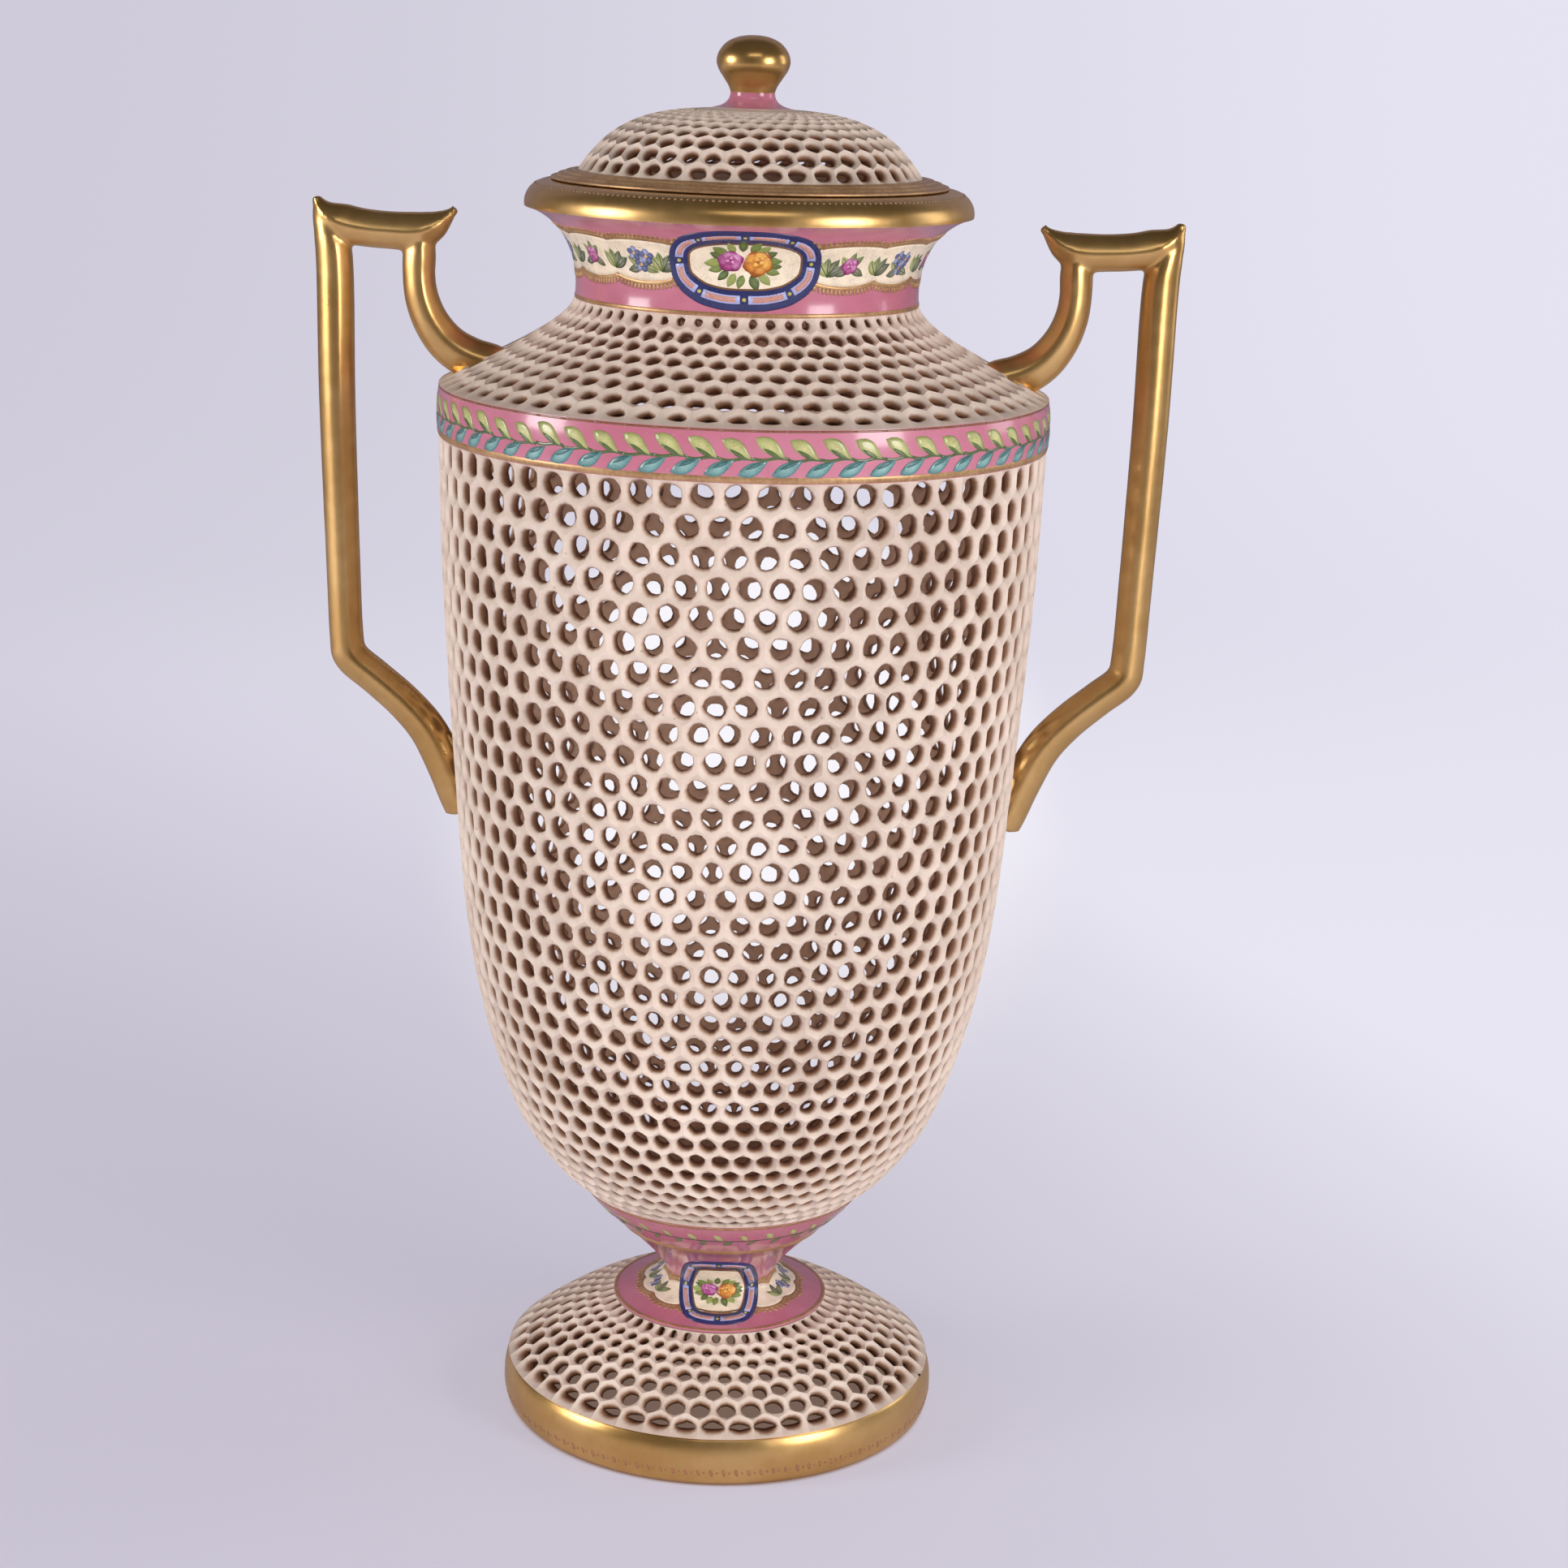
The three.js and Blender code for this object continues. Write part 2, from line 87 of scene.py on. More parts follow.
def eased(corners, radius, steps=4):
    """A line through corners, each of them rounded off."""
    corners = np.array(corners, float)
    points = [corners[:1]]
    for before, corner, after in zip(corners, corners[1:], corners[2:]):
        back = before - corner
        on = after - corner
        back *= min(radius / np.linalg.norm(back), 0.45)
        on *= min(radius / np.linalg.norm(on), 0.45)
        points.append(bezier([corner + back, corner, corner + on], steps))
    points.append(corners[-1:])
    return np.vstack(points)


def lengths(curve, turned=False):
    """Running length of a profile; when turned, each step is divided by its radius."""
    steps = np.hypot(*np.diff(curve, axis=0).T)
    if turned:
        steps = steps / ((curve[1:, 0] + curve[:-1, 0]) / 2)
    return np.concatenate([[0], np.cumsum(steps)])


def read_off(places, along, rows):
    """Rows that belong to a profile, read off at places along it."""
    return np.column_stack([np.interp(places, along, rows[:, k]) for k in (0, 1)])


def even(curve, count, turned=False):
    """The same profile with its points at even steps."""
    along = lengths(curve, turned)
    return read_off(np.linspace(0, along[-1], count), along, curve)


def outward(curve):
    """Unit normals of a profile that runs upwards."""
    run = np.gradient(curve, axis=0)
    run /= np.linalg.norm(run, axis=1)[:, None]
    return np.column_stack([run[:, 1], -run[:, 0]])


# Node trees

def reckoned(operation, swapped=False):
    """A sign between a wire and another number, as a node."""
    if swapped:
        return lambda wire, other: wire.tree.calc(operation, other, wire)
    return lambda wire, other: wire.tree.calc(operation, wire, other)


class Wire:
    """What comes out of a node. Numbers can be reckoned with as they are."""

    __add__ = reckoned("ADD")
    __radd__ = reckoned("ADD", swapped=True)
    __sub__ = reckoned("SUBTRACT")
    __rsub__ = reckoned("SUBTRACT", swapped=True)
    __mul__ = reckoned("MULTIPLY")
    __truediv__ = reckoned("DIVIDE")
    __rtruediv__ = reckoned("DIVIDE", swapped=True)
    __mod__ = reckoned("MODULO")
    __lt__ = reckoned("LESS_THAN")
    __gt__ = reckoned("GREATER_THAN")

    def __init__(self, tree, socket):
        self.tree = tree
        self.socket = socket


class Tree:
    """A node tree, with short ways to add the nodes that are used often."""

    def __init__(self, tree):
        self.tree = tree

    def give(self, socket, value):
        """Links a wire to a socket, or sets the socket to a plain value."""
        if isinstance(value, Wire):
            self.tree.links.new(value.socket, socket)
        else:
            socket.default_value = value

    def add(self, kind, inputs=None, **settings):
        """A new node. Its inputs go by name or number, as wires or plain values."""
        made = self.tree.nodes.new(kind)
        for key, value in settings.items():
            setattr(made, key, value)
        for key, value in (inputs or {}).items():
            self.give(made.inputs[key], value)
        return made

    def get(self, kind, inputs=None, output=0, **settings):
        """What comes out of a new node."""
        return Wire(self, self.add(kind, inputs, **settings).outputs[output])

    def use(self, group, inputs):
        """What a shared group puts out."""
        kind = "GeometryNodeGroup" if group.bl_idname == "GeometryNodeTree" else "ShaderNodeGroup"
        return self.get(kind, inputs, node_tree=group)

    def close(self, value):
        """Ends a shared group with what it puts out."""
        self.give(self.tree.nodes.new("NodeGroupOutput").inputs[0], value)
        return self.tree

    def calc(self, operation, *values):
        return self.get("ShaderNodeMath", dict(enumerate(values)), operation=operation)

    def vector_calc(self, operation, *values):
        return self.get("ShaderNodeVectorMath", dict(enumerate(values)), operation=operation)

    def scaled(self, value, by):
        return self.get("ShaderNodeVectorMath", {0: value, 3: by}, operation="SCALE")

    def vector(self, x, y, z):
        return self.get("ShaderNodeCombineXYZ", {0: x, 1: y, 2: z})

    def split(self, value):
        """The three parts of a vector."""
        made = self.add("ShaderNodeSeparateXYZ", {0: value})
        return [Wire(self, socket) for socket in made.outputs]

    def blend(self, share, low, high):
        """A number between two, by a share from 0 to 1."""
        return self.get("ShaderNodeMix", {0: share, 2: low, 3: high})

    def mixed(self, share, low, high):
        """A colour between two, by a share from 0 to 1."""
        return self.get("ShaderNodeMix", {0: share, 6: low, 7: high}, 2, data_type="RGBA")

    def spread(self, value, low, high, to_low=0.0, to_high=1.0):
        """A value's place between low and high, eased and held within the ends."""
        ends = {0: value, 1: low, 2: high, 3: to_low, 4: to_high}
        return self.get("ShaderNodeMapRange", ends, interpolation_type="SMOOTHSTEP")

    def noise(self, place, scale, detail, output="Fac", roughness=0.5):
        return self.get("ShaderNodeTexNoise", {
            "Vector": place, "Scale": scale, "Detail": detail, "Roughness": roughness}, output)

    def object_place(self):
        return self.get("ShaderNodeTexCoord", output="Object")

    def point_place(self):
        return self.get("GeometryNodeInputPosition")

    def attribute(self, name, kind="FLOAT"):
        return self.get("GeometryNodeInputNamedAttribute", {0: name}, data_type=kind)

    def store(self, geometry, name, value, kind="FLOAT"):
        return self.get("GeometryNodeStoreNamedAttribute", {
            "Geometry": geometry, "Name": name, "Value": value}, data_type=kind, domain="POINT")

    def chance(self, low, high, seed):
        return self.get("FunctionNodeRandomValue", {2: low, 3: high, 8: seed}, 1, data_type="FLOAT")

    def shape_of(self, obj):
        """The mesh of an object that is handed to a tree."""
        return self.get("GeometryNodeObjectInfo", {0: obj}, "Geometry")


def new_group(kind, name, inputs, output, output_kind="Float"):
    """A shared tree and its inputs by name. An input is given as its first value or its kind."""
    made = bpy.data.node_groups.new(name, kind)
    for label, value in inputs.items():
        socket = {float: "Float", int: "Int"}.get(type(value), value)
        item = made.interface.new_socket(label, in_out="INPUT", socket_type="NodeSocket" + socket)
        if socket != value:
            item.default_value = value
    made.interface.new_socket(output, in_out="OUTPUT", socket_type="NodeSocket" + output_kind)
    tree = Tree(made)
    return tree, {s.name: Wire(tree, s) for s in made.nodes.new("NodeGroupInput").outputs}


# Shared shader groups

def variation_group():
    """Slow and fine unevenness of a hand-finished surface, from 0 to 1."""
    sizes = {"Scale": 60.0, "Fine": 0.3}
    tree, given = new_group("ShaderNodeTree", "hand_variation", sizes, "Value")
    place = tree.object_place()
    slow = tree.noise(place, given["Scale"], 3.0)
    quick = tree.noise(place, given["Scale"] * 9.0, 4.0)
    return tree.close(tree.blend(given["Fine"], slow, quick))


def speck_group():
    """Small round specks of dust and kiln grit, as a mask."""
    sizes = {"Scale": 300.0, "Size": 0.12, "Share": 0.3}
    tree, given = new_group("ShaderNodeTree", "specks", sizes, "Mask")
    cells = tree.add("ShaderNodeTexVoronoi", {"Vector": tree.object_place(), "Scale": given["Scale"]})
    distance, colour = (Wire(tree, cells.outputs[name]) for name in ("Distance", "Color"))
    size = given["Size"]
    dot = tree.get("ShaderNodeMapRange", {0: distance, 1: size * 0.4, 2: size, 3: 1.0, 4: 0.0})
    tone = tree.get("ShaderNodeSeparateColor", {0: colour})
    return tree.close(dot * (tone < given["Share"]))


def wear_group():
    """Where gilding is rubbed thin and browner, as a mask."""
    sizes = {"Scale": 90.0, "Amount": 0.5}
    tree, given = new_group("ShaderNodeTree", "rubbed_gilding", sizes, "Mask")
    patch = tree.noise(tree.object_place(), given["Scale"], 6.0, roughness=0.65)
    return tree.close(tree.spread(patch, 0.5, 0.78) * given["Amount"])


VARIATION = variation_group()
SPECKS = speck_group()
WEAR = wear_group()


# Finishes

def rgba(red, green, blue):
    """A colour that is written as its display values out of 255, as linear light."""
    shares = [value / 255 for value in (red, green, blue)]
    return (*[s / 12.92 if s <= 0.04045 else ((s + 0.055) / 1.055) ** 2.4 for s in shares], 1.0)


class Finish(Tree):
    """A material's tree, built up in layers on the hand's unevenness."""

    def __init__(self, name, scale, fine):
        self.material = bpy.data.materials.new(name)
        self.material.use_nodes = True
        super().__init__(self.material.node_tree)
        self.shader = self.tree.nodes["Principled BSDF"]
        self.vary = self.use(VARIATION, {"Scale": scale, "Fine": fine})

    def ground(self, start, stop, low, high):
        """Two tones that change slowly into each other."""
        return self.mixed(self.spread(self.vary, start, stop), low, high)

    def specks(self, under, colour, strength, scale, size, share):
        mask = self.use(SPECKS, {"Scale": scale, "Size": size, "Share": share})
        return self.mixed(mask * strength, under, colour)

    def rubbed(self, scale, amount):
        return self.use(WEAR, {"Scale": scale, "Amount": amount})

    def roughness(self, low, high):
        return self.spread(self.vary, 0.3, 0.7, low, high)

    def done(self, colour, roughness, height, strength, uniform=None):
        """Hands the layers to the shader; height is how far the unevenness stands up."""
        self.give(self.shader.inputs["Base Color"], colour)
        self.give(self.shader.inputs["Roughness"], roughness)
        for label, value in (uniform or {}).items():
            self.shader.inputs[label].default_value = value
        relief = {"Strength": strength, "Distance": height, "Height": self.vary}
        self.give(self.shader.inputs["Normal"], self.get("ShaderNodeBump", relief))
        return self.material


def ivory_porcelain():
    finish = Finish("ivory_porcelain", 45.0, 0.35)
    body = finish.ground(0.36, 0.64, rgba(215, 194, 177), rgba(229, 210, 194))
    depth = finish.get("ShaderNodeAttribute", output="Fac", attribute_name="depth")
    # Painted shade: the bores turn brown with depth into the wall and the inner face is painted darker and
    # warmer, standing in for the shade inside the pierced wall
    bore_shade = finish.mixed(finish.spread(depth, 0.14, 0.5), body, rgba(154, 112, 84))
    inner_wall_shade = finish.mixed(finish.spread(depth, 0.9, 1.0), bore_shade, rgba(216, 178, 150))
    gritty = finish.specks(inner_wall_shade, rgba(140, 104, 80), 0.45, 420.0, 0.16, 0.08)
    return finish.done(gritty, finish.roughness(0.44, 0.58), 0.00012, 0.5, {"IOR": 1.5})


def rose_enamel():
    finish = Finish("rose_enamel", 28.0, 0.25)
    ground = finish.ground(0.3, 0.72, rgba(188, 109, 128), rgba(202, 127, 146))
    stippled = finish.specks(ground, rgba(236, 176, 192), 0.12, 900.0, 0.3, 0.25)
    gloss = {"Coat Weight": 0.5, "Specular IOR Level": 0.3, "Coat Roughness": 0.1}
    return finish.done(stippled, finish.roughness(0.16, 0.24), 0.0002, 0.25, gloss)


def painted_enamel():
    finish = Finish("painted_enamel", 300.0, 0.5)
    paint = finish.get("ShaderNodeAttribute", output="Color", attribute_name="paint")
    washed = finish.scaled(paint, finish.spread(finish.vary, 0.3, 0.7, 0.82, 1.12))
    gloss = {"Coat Weight": 0.4, "Coat Roughness": 0.1}
    return finish.done(washed, finish.roughness(0.24, 0.4), 0.0001, 0.3, gloss)


def burnished_gilding():
    finish = Finish("burnished_gilding", 35.0, 0.3)
    gold = finish.ground(0.34, 0.68, rgba(208, 163, 97), rgba(225, 184, 121))
    worn = finish.rubbed(120.0, 0.16)
    colour = finish.mixed(worn, gold, rgba(186, 142, 84))
    rough = finish.roughness(0.27, 0.34) + worn * 0.06
    return finish.done(colour, rough, 0.00025, 0.3, {"Metallic": 0.9})


def matt_gilding():
    finish = Finish("matt_gilding", 160.0, 0.5)
    gold = finish.ground(0.34, 0.68, rgba(176, 134, 92), rgba(208, 168, 122))
    colour = finish.mixed(finish.rubbed(260.0, 0.5), gold, rgba(132, 92, 64))
    return finish.done(colour, finish.roughness(0.34, 0.46), 0.0001, 0.4, {"Metallic": 0.55})


def biscuit_lining():
    finish = Finish("biscuit_lining", 80.0, 0.5)
    body = finish.ground(0.34, 0.66, rgba(190, 160, 138), rgba(214, 190, 170))
    gritty = finish.specks(body, rgba(120, 92, 74), 0.5, 500.0, 0.2, 0.2)
    return finish.done(gritty, finish.roughness(0.6, 0.78), 0.0002, 0.4)


IVORY = ivory_porcelain()
ROSE = rose_enamel()
PAINT = painted_enamel()
GILT = burnished_gilding()
LINE_GILT = matt_gilding()
BISCUIT = biscuit_lining()


# Pieces

def keep(obj, body, slot, *nodes):
    """Attaches a piece to what it moves with and hides the CAD nodes it stands for. The slot is not used."""
    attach(obj, body)
    if nodes:
        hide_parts(*nodes)


def new_mesh(name, positions, faces, *materials):
    mesh = bpy.data.meshes.new(name)
    mesh.from_pydata(positions, [], faces)
    for material in materials:
        mesh.materials.append(material)
    return mesh


def smooth_mesh(mesh, sharp=35):
    mesh.polygons.foreach_set("use_smooth", [True] * len(mesh.polygons))
    mesh.set_sharp_from_angle(angle=math.radians(sharp))
    mesh.update()


def new_piece(name, mesh):
    obj = bpy.data.objects.new(name, mesh)
    scene.collection.objects.link(obj)
    return obj


def strip(low, high, closed=True):
    """Four-sided faces between two rows of corners."""
    low = list(low)
    high = list(high)
    faces = list(zip(low, low[1:] + low[:1], high[1:] + high[:1], high))
    return faces if closed else faces[:-1]


def strips(rows, count, around=False, closed=True):
    """The faces between rows that follow each other; around joins the last row to the first."""
    faces = []
    for row in range(rows if around else rows - 1):
        low = row * count
        high = (row + 1) % rows * count
        faces += strip(range(low, low + count), range(high, high + count), closed)
    return faces


def revolved(outline, segments=192, first=0):
    """A closed outline turned on the Z axis: its places, its faces and each face's row."""
    outline = np.array(outline, float)
    positions = []
    rings = []
    for r, z in outline * MM:
        start = first + len(positions)
        if r < 1e-9:
            rings.append([start] * segments)
            positions.append((0, 0, z))
            continue
        rings.append(range(start, start + segments))
        for k in range(segments):
            angle = TURN * k / segments
            positions.append((r * math.cos(angle), r * math.sin(angle), z))
    on_axis = outline[0, 0] < 1e-6
    faces = []
    rows = []
    for row, low in enumerate(rings[:-1] if on_axis else rings):
        for corners in strip(low, rings[(row + 1) % len(rings)]):
            corners = list(dict.fromkeys(corners))
            if len(corners) > 2:
                faces.append(corners)
                rows.append(row)
    return positions, faces, rows


def turned(name, outer, inner, finish, lining=None, segments=192):
    """A casting turned on the Z axis. The outer profile runs up and the inner one down."""
    positions, faces, rows = revolved([*outer, *inner], segments)
    finishes = [finish, lining] if lining else [finish]
    mesh = new_mesh(name, positions, faces, *finishes)
    inner_finish = len(finishes) - 1
    mesh.polygons.foreach_set("material_index", [inner_finish * (row >= len(outer)) for row in rows])
    smooth_mesh(mesh)
    return new_piece(name, mesh)


# Levels of the seams, and the outer profiles between them

FOOT_TOP = 26.4
STEM_TOP = 39.5
CUP_TOP = 57.0
BODY_TOP = 235.0
BAND_TOP = 246.2
SHOULDER_TOP = 265.7
NECK_TOP = 285.6
LIP_TOP = 291.3
LID_SEAT = 291.6
LID_RIM_TOP = 293.7
COLLAR_FOOT = 307.9
KNOB_FOOT = 311.2
CUP_RIM_RADIUS = 34.5
BODY_RADIUS = 68.6
NECK_RADIUS = 38.5

foot_curve = bezier([(51, 11.8), (37.6, 22.5), (25.7, FOOT_TOP)], 60)
stem_curve = joined(
    bezier([(25.7, 27.1), (18.45, 28.3), (13.2, 30.2), (13.2, 33)], 30),
    bezier([(13.2, 33), (13.4, 34.3), (17.6, STEM_TOP)], 14),
)
cup_curve = joined(
    [(17.6, STEM_TOP), (23.9, 45.9)],
    [(23.9, 45.9), (24.5, 46.1), (24.8, 46.8)],
    bezier([(24.8, 46.8), (30.5, 51.4), (CUP_RIM_RADIUS, CUP_TOP)], 20),
)
SWELL = [(0, 0), (0.035, 0.2), (0.11, 0.455), (0.235, 0.67), (0.38, 0.805), (0.6, 0.9), (0.82, 0.972),
         (1, 1)]
body_curve = spline([
    (CUP_RIM_RADIUS + (BODY_RADIUS - CUP_RIM_RADIUS) * out, CUP_TOP + (BODY_TOP - CUP_TOP) * up)
    for up, out in SWELL
], 30)
band_curve = spline([
    (BODY_RADIUS, BODY_TOP), (68.87, 236.2), (68.97, 238.3), (68.97, 241.6), (68.83, 244.2), (68.5, BAND_TOP),
], 5)
shoulder_curve = bezier([
    (BODY_RADIUS, BAND_TOP), (54.15, 254), (40.6, 259.5), (NECK_RADIUS, SHOULDER_TOP),
], 80)
neck_curve = bezier([(NECK_RADIUS, SHOULDER_TOP), (37.6, 274.5), (40.5, 282.3), (49.6, NECK_TOP)], 50)
lid_curve = bezier([(38.2, LID_RIM_TOP), (32.9, 301.9), (26.6, 306.5), (12.8, 307.4)], 60)
crown_curve = bezier([(12.8, 307.4), (10.6, 307.5), (9.2, 307.6), (8.4, COLLAR_FOOT)], 10)


# Pierced walls

RAIL_POINTS = 641
END_BLEND = 5


def rail(name, curve, wall, level_ends):
    """A hidden line of points that a tree reads: the outer profile, evenly spaced for a net, and
    the way through the wall at each point. Level ends are cut flat where castings meet, or
    plumb where the wall lies nearly level."""
    points = even(curve, RAIL_POINTS, turned=level_ends)
    normals = outward(points)
    into = -wall * normals
    if level_ends:
        level = np.array([(-wall / out, 0) if out > 0.3 else (0, -wall / up) for out, up in normals])
        along = lengths(points)
        near = np.minimum(along, along[-1] - along)
        share = np.clip(1 - near / END_BLEND, 0, 1)
        share = (share * share * (3 - 2 * share))[:, None]
        level = np.where(along[:, None] < along[-1] / 2, level[:1], level[-1:])
        into = ((1 - share) * into + share * level) * MM
    mesh = new_mesh(name, [(r, 0, z) for r, z in points * MM], [])
    ways = np.column_stack([into[:, 0], np.zeros(len(into)), into[:, 1]])
    mesh.attributes.new("into", "FLOAT_VECTOR", "POINT").data.foreach_set("vector", ways.ravel())
    return new_piece(name, mesh)


def wrap_group():
    """A place on or in a turned wall, from its share up the profile, its turn and its depth."""
    tree, given = new_group("GeometryNodeTree", "wrap_on_profile", {
        "Profile": "Geometry", "Share": 0.0, "Turn": 0.0, "Across": 0.0, "Depth": 0.0,
        "Reference radius": 0.0}, "Position", "Vector")
    profile = given["Profile"]
    last = tree.get("GeometryNodeAttributeDomainSize", {0: profile}, "Point Count", component="MESH") - 1.0
    place = tree.calc("MINIMUM", tree.calc("MAXIMUM", given["Share"] * last, 0.0), last)
    low = tree.calc("FLOOR", place)
    share = place - low

    def sampled(value):
        ends = [
            tree.get("GeometryNodeSampleIndex", {"Geometry": profile, "Value": value, "Index": index},
                     data_type="FLOAT_VECTOR", domain="POINT", clamp=True)
            for index in (low, low + 1.0)
        ]
        return tree.get("ShaderNodeMix", {0: share, 4: ends[0], 5: ends[1]}, 1, data_type="VECTOR")

    inward = tree.scaled(sampled(tree.attribute("into", "FLOAT_VECTOR")), given["Depth"])
    face = sampled(tree.point_place())
    radius, _, height = tree.split(tree.vector_calc("ADD", face, inward))
    reference = given["Reference radius"]
    face_radius = reference + tree.split(face)[0] * (reference < 1e-6)
    turn = given["Turn"] + given["Across"] / face_radius
    x = radius * tree.calc("SINE", turn)
    y = radius * tree.calc("COSINE", turn) * -1.0
    return tree.close(tree.vector(x, y, height))


WRAP = wrap_group()


def wrapped(tree, given, mesh, place, touching):
    """Ends a tree: sets its flat plan on the profile, and joins, smooths and paints the mesh."""
    place["Profile"] = tree.shape_of(given["Profile"])
    mesh = tree.get("GeometryNodeSetPosition", {"Geometry": mesh, "Position": tree.use(WRAP, place)})
    mesh = tree.get("GeometryNodeMergeByDistance", {"Geometry": mesh, "Distance": touching})
    mesh = tree.get("GeometryNodeSetShadeSmooth", {"Geometry": mesh})
    finished = {"Geometry": mesh, "Material": given["Material"]}
    return tree.close(tree.get("GeometryNodeSetMaterial", finished))


def pierced_wall_tree():
    """Rows of cells set half a cell apart, closed at both ends and wrapped on a profile."""
    tree, given = new_group("GeometryNodeTree", "pierced wall", {
        "Cell": "Object", "Profile": "Object", "Columns": 60, "Rows": 30, "Row pitch": 0.9,
        "First row": 0.5, "Length": 30.0, "Hole below": 1.0, "Hole above": 1.0, "Last row hole": 1.0,
        "Unevenness": 0.05, "Seed": 1, "Material": "Material"}, "Geometry", "Geometry")
    columns = given["Columns"]
    uneven = given["Unevenness"]
    seed = given["Seed"]
    last_row = given["Rows"] - 1.0
    index = tree.get("GeometryNodeInputIndex")
    row = tree.calc("FLOOR", (index + 0.5) / columns)
    across = index - row * columns + row % 2.0 * 0.5
    at = tree.vector(across, given["First row"] + row * given["Row pitch"], 0.0)
    points = tree.get("GeometryNodePoints", {"Count": columns * given["Rows"], "Position": at})
    points = tree.store(points, "row", row)
    rise = tree.blend(row / last_row, given["Hole below"], given["Hole above"])
    at_last = tree.calc("COMPARE", row, last_row, 0.5)
    rise = rise * tree.blend(at_last, 1.0, given["Last row hole"])
    bore = rise * (1.0 + tree.chance(uneven * -1.0, uneven, seed))
    points = tree.store(points, "bore", bore)
    half = uneven * 0.6
    slips = [tree.chance(half * -1.0, half, seed + offset) for offset in (1.0, 2.0)]
    points = tree.store(points, "slip", tree.vector(*slips, 0.0), "FLOAT_VECTOR")
    cells = {"Points": points, "Instance": tree.shape_of(given["Cell"])}
    mesh = tree.get("GeometryNodeRealizeInstances", {0: tree.get("GeometryNodeInstanceOnPoints", cells)})

    # Each hole is made wider or narrower, slipped and pulled out of round
    open_share = tree.attribute("open")
    local = tree.attribute("local", "FLOAT_VECTOR")
    swelled = tree.scaled(local, tree.attribute("bore") - 1.0)
    flat_place = tree.vector_calc("MULTIPLY", tree.point_place(), (1.0, 1.0, 0.35))
    lump = tree.vector_calc("SUBTRACT", tree.noise(flat_place, 2.6, 0.0, "Color"), (0.5, 0.5, 0.5))
    lump = tree.vector_calc("MULTIPLY", tree.scaled(lump, uneven * 3.2), (1.0, 1.0, 0.0))
    move = tree.vector_calc("ADD", swelled, tree.attribute("slip", "FLOAT_VECTOR"))
    move = tree.scaled(tree.vector_calc("ADD", move, lump), open_share)
    mesh = tree.get("GeometryNodeSetPosition", {"Geometry": mesh, "Offset": move})

    # The first and last rows end on a level line, and their edge is drawn in through the wall
    border = open_share < 0.5
    local_up = tree.split(local)[1]
    row = tree.attribute("row")
    low_end = border * (row < 0.5) * (local_up < -0.05)
    high_end = border * tree.calc("COMPARE", row, last_row, 0.5) * (local_up > 0.05)
    x, y, z = tree.split(tree.point_place())
    level = tree.blend(high_end, tree.blend(low_end, y, 0.0), given["Length"])
    mesh = tree.get("GeometryNodeSetPosition", {"Geometry": mesh, "Position": tree.vector(x, level, z)})
    mesh = tree.store(mesh, "seam", low_end + high_end)
    mesh = tree.store(mesh, "closing", (tree.attribute("seam") > 0.5) * (z < 0.5), "BOOLEAN")
    mesh = tree.get("GeometryNodeExtrudeMesh", {
        "Mesh": mesh, "Selection": tree.attribute("closing", "BOOLEAN"), "Offset": (0.0, 0.0, 1.0),
        "Offset Scale": 1.0}, mode="EDGES")
    mesh = tree.store(mesh, "depth", z)
    place = {"Share": y / given["Length"], "Turn": x / columns * TURN, "Depth": z}
    return wrapped(tree, given, mesh, place, touching=1e-5)


ROUND_PITCH = 0.93


def cell_piece(name, pitch, hole):
    """One cell of a net in a flat plan: a six-sided border with a round hole, its lip rolled over,
    through the wall from 0 outside to 1 inside. Widths are in columns; pitch is a row's height."""
    quarter = [(0.5, 0), (0.5, 1 / 3), (0.25, 0.5), (0, 2 / 3)]
    upper = quarter + [(-x, y) for x, y in quarter[2::-1]]
    border = np.array(upper + [(x, -y) for x, y in upper[-2:0:-1]]) * (1, pitch)
    across = np.arctan2(border[:, 1], border[:, 0])
    round_hole = hole / 2 * np.column_stack([np.cos(across), pitch / ROUND_PITCH * np.sin(across)])
    rings = [(border, 0.0, 0), (round_hole * 1.17, 0.19, 1), (round_hole * 0.98, 0.42, 1),
             (round_hole * 1.02, 1.0, 1), (border, 1.0, 0)]
    positions = [(x, y, depth) for ring, depth, _ in rings for x, y in ring]
    sides = len(border)
    mesh = new_mesh(name, positions, strips(len(rings), sides))
    opened = [is_hole for _, _, is_hole in rings for _ in range(sides)]
    mesh.attributes.new("open", "FLOAT", "POINT").data.foreach_set("value", opened)
    flat = np.array([(x, y, 0) for x, y, _ in positions])
    mesh.attributes.new("local", "FLOAT_VECTOR", "POINT").data.foreach_set("vector", flat.ravel())
    for edge in mesh.edges:
        edge.use_edge_sharp = max(edge.vertices) < sides
    return new_piece(name, mesh)


def made_plain(obj):
    """Turns what an object's modifiers give into its own plain mesh."""
    mesh = bpy.data.meshes.new_from_object(obj.evaluated_get(bpy.context.evaluated_depsgraph_get()))
    obj.modifiers.clear()
    obj.data = mesh


def grown(name, tree, inputs, helpers):
    """Runs a geometry tree once, keeps its result as a plain mesh and drops what it read."""
    obj = new_piece(name, bpy.data.meshes.new(name))
    modifier = obj.modifiers.new("grow", "NODES")
    modifier.node_group = tree
    sockets = {item.name: item.identifier for item in tree.interface.items_tree if item.in_out == "INPUT"}
    for label, value in inputs.items():
        modifier[sockets[label]] = value
    made_plain(obj)
    obj.data.name = name
    shape = bmesh.new()
    shape.from_mesh(obj.data)
    bmesh.ops.recalc_face_normals(shape, faces=shape.faces)
    shape.to_mesh(obj.data)
    shape.free()
    for helper in helpers:
        bpy.data.objects.remove(helper)
    return obj


PIERCED = pierced_wall_tree()


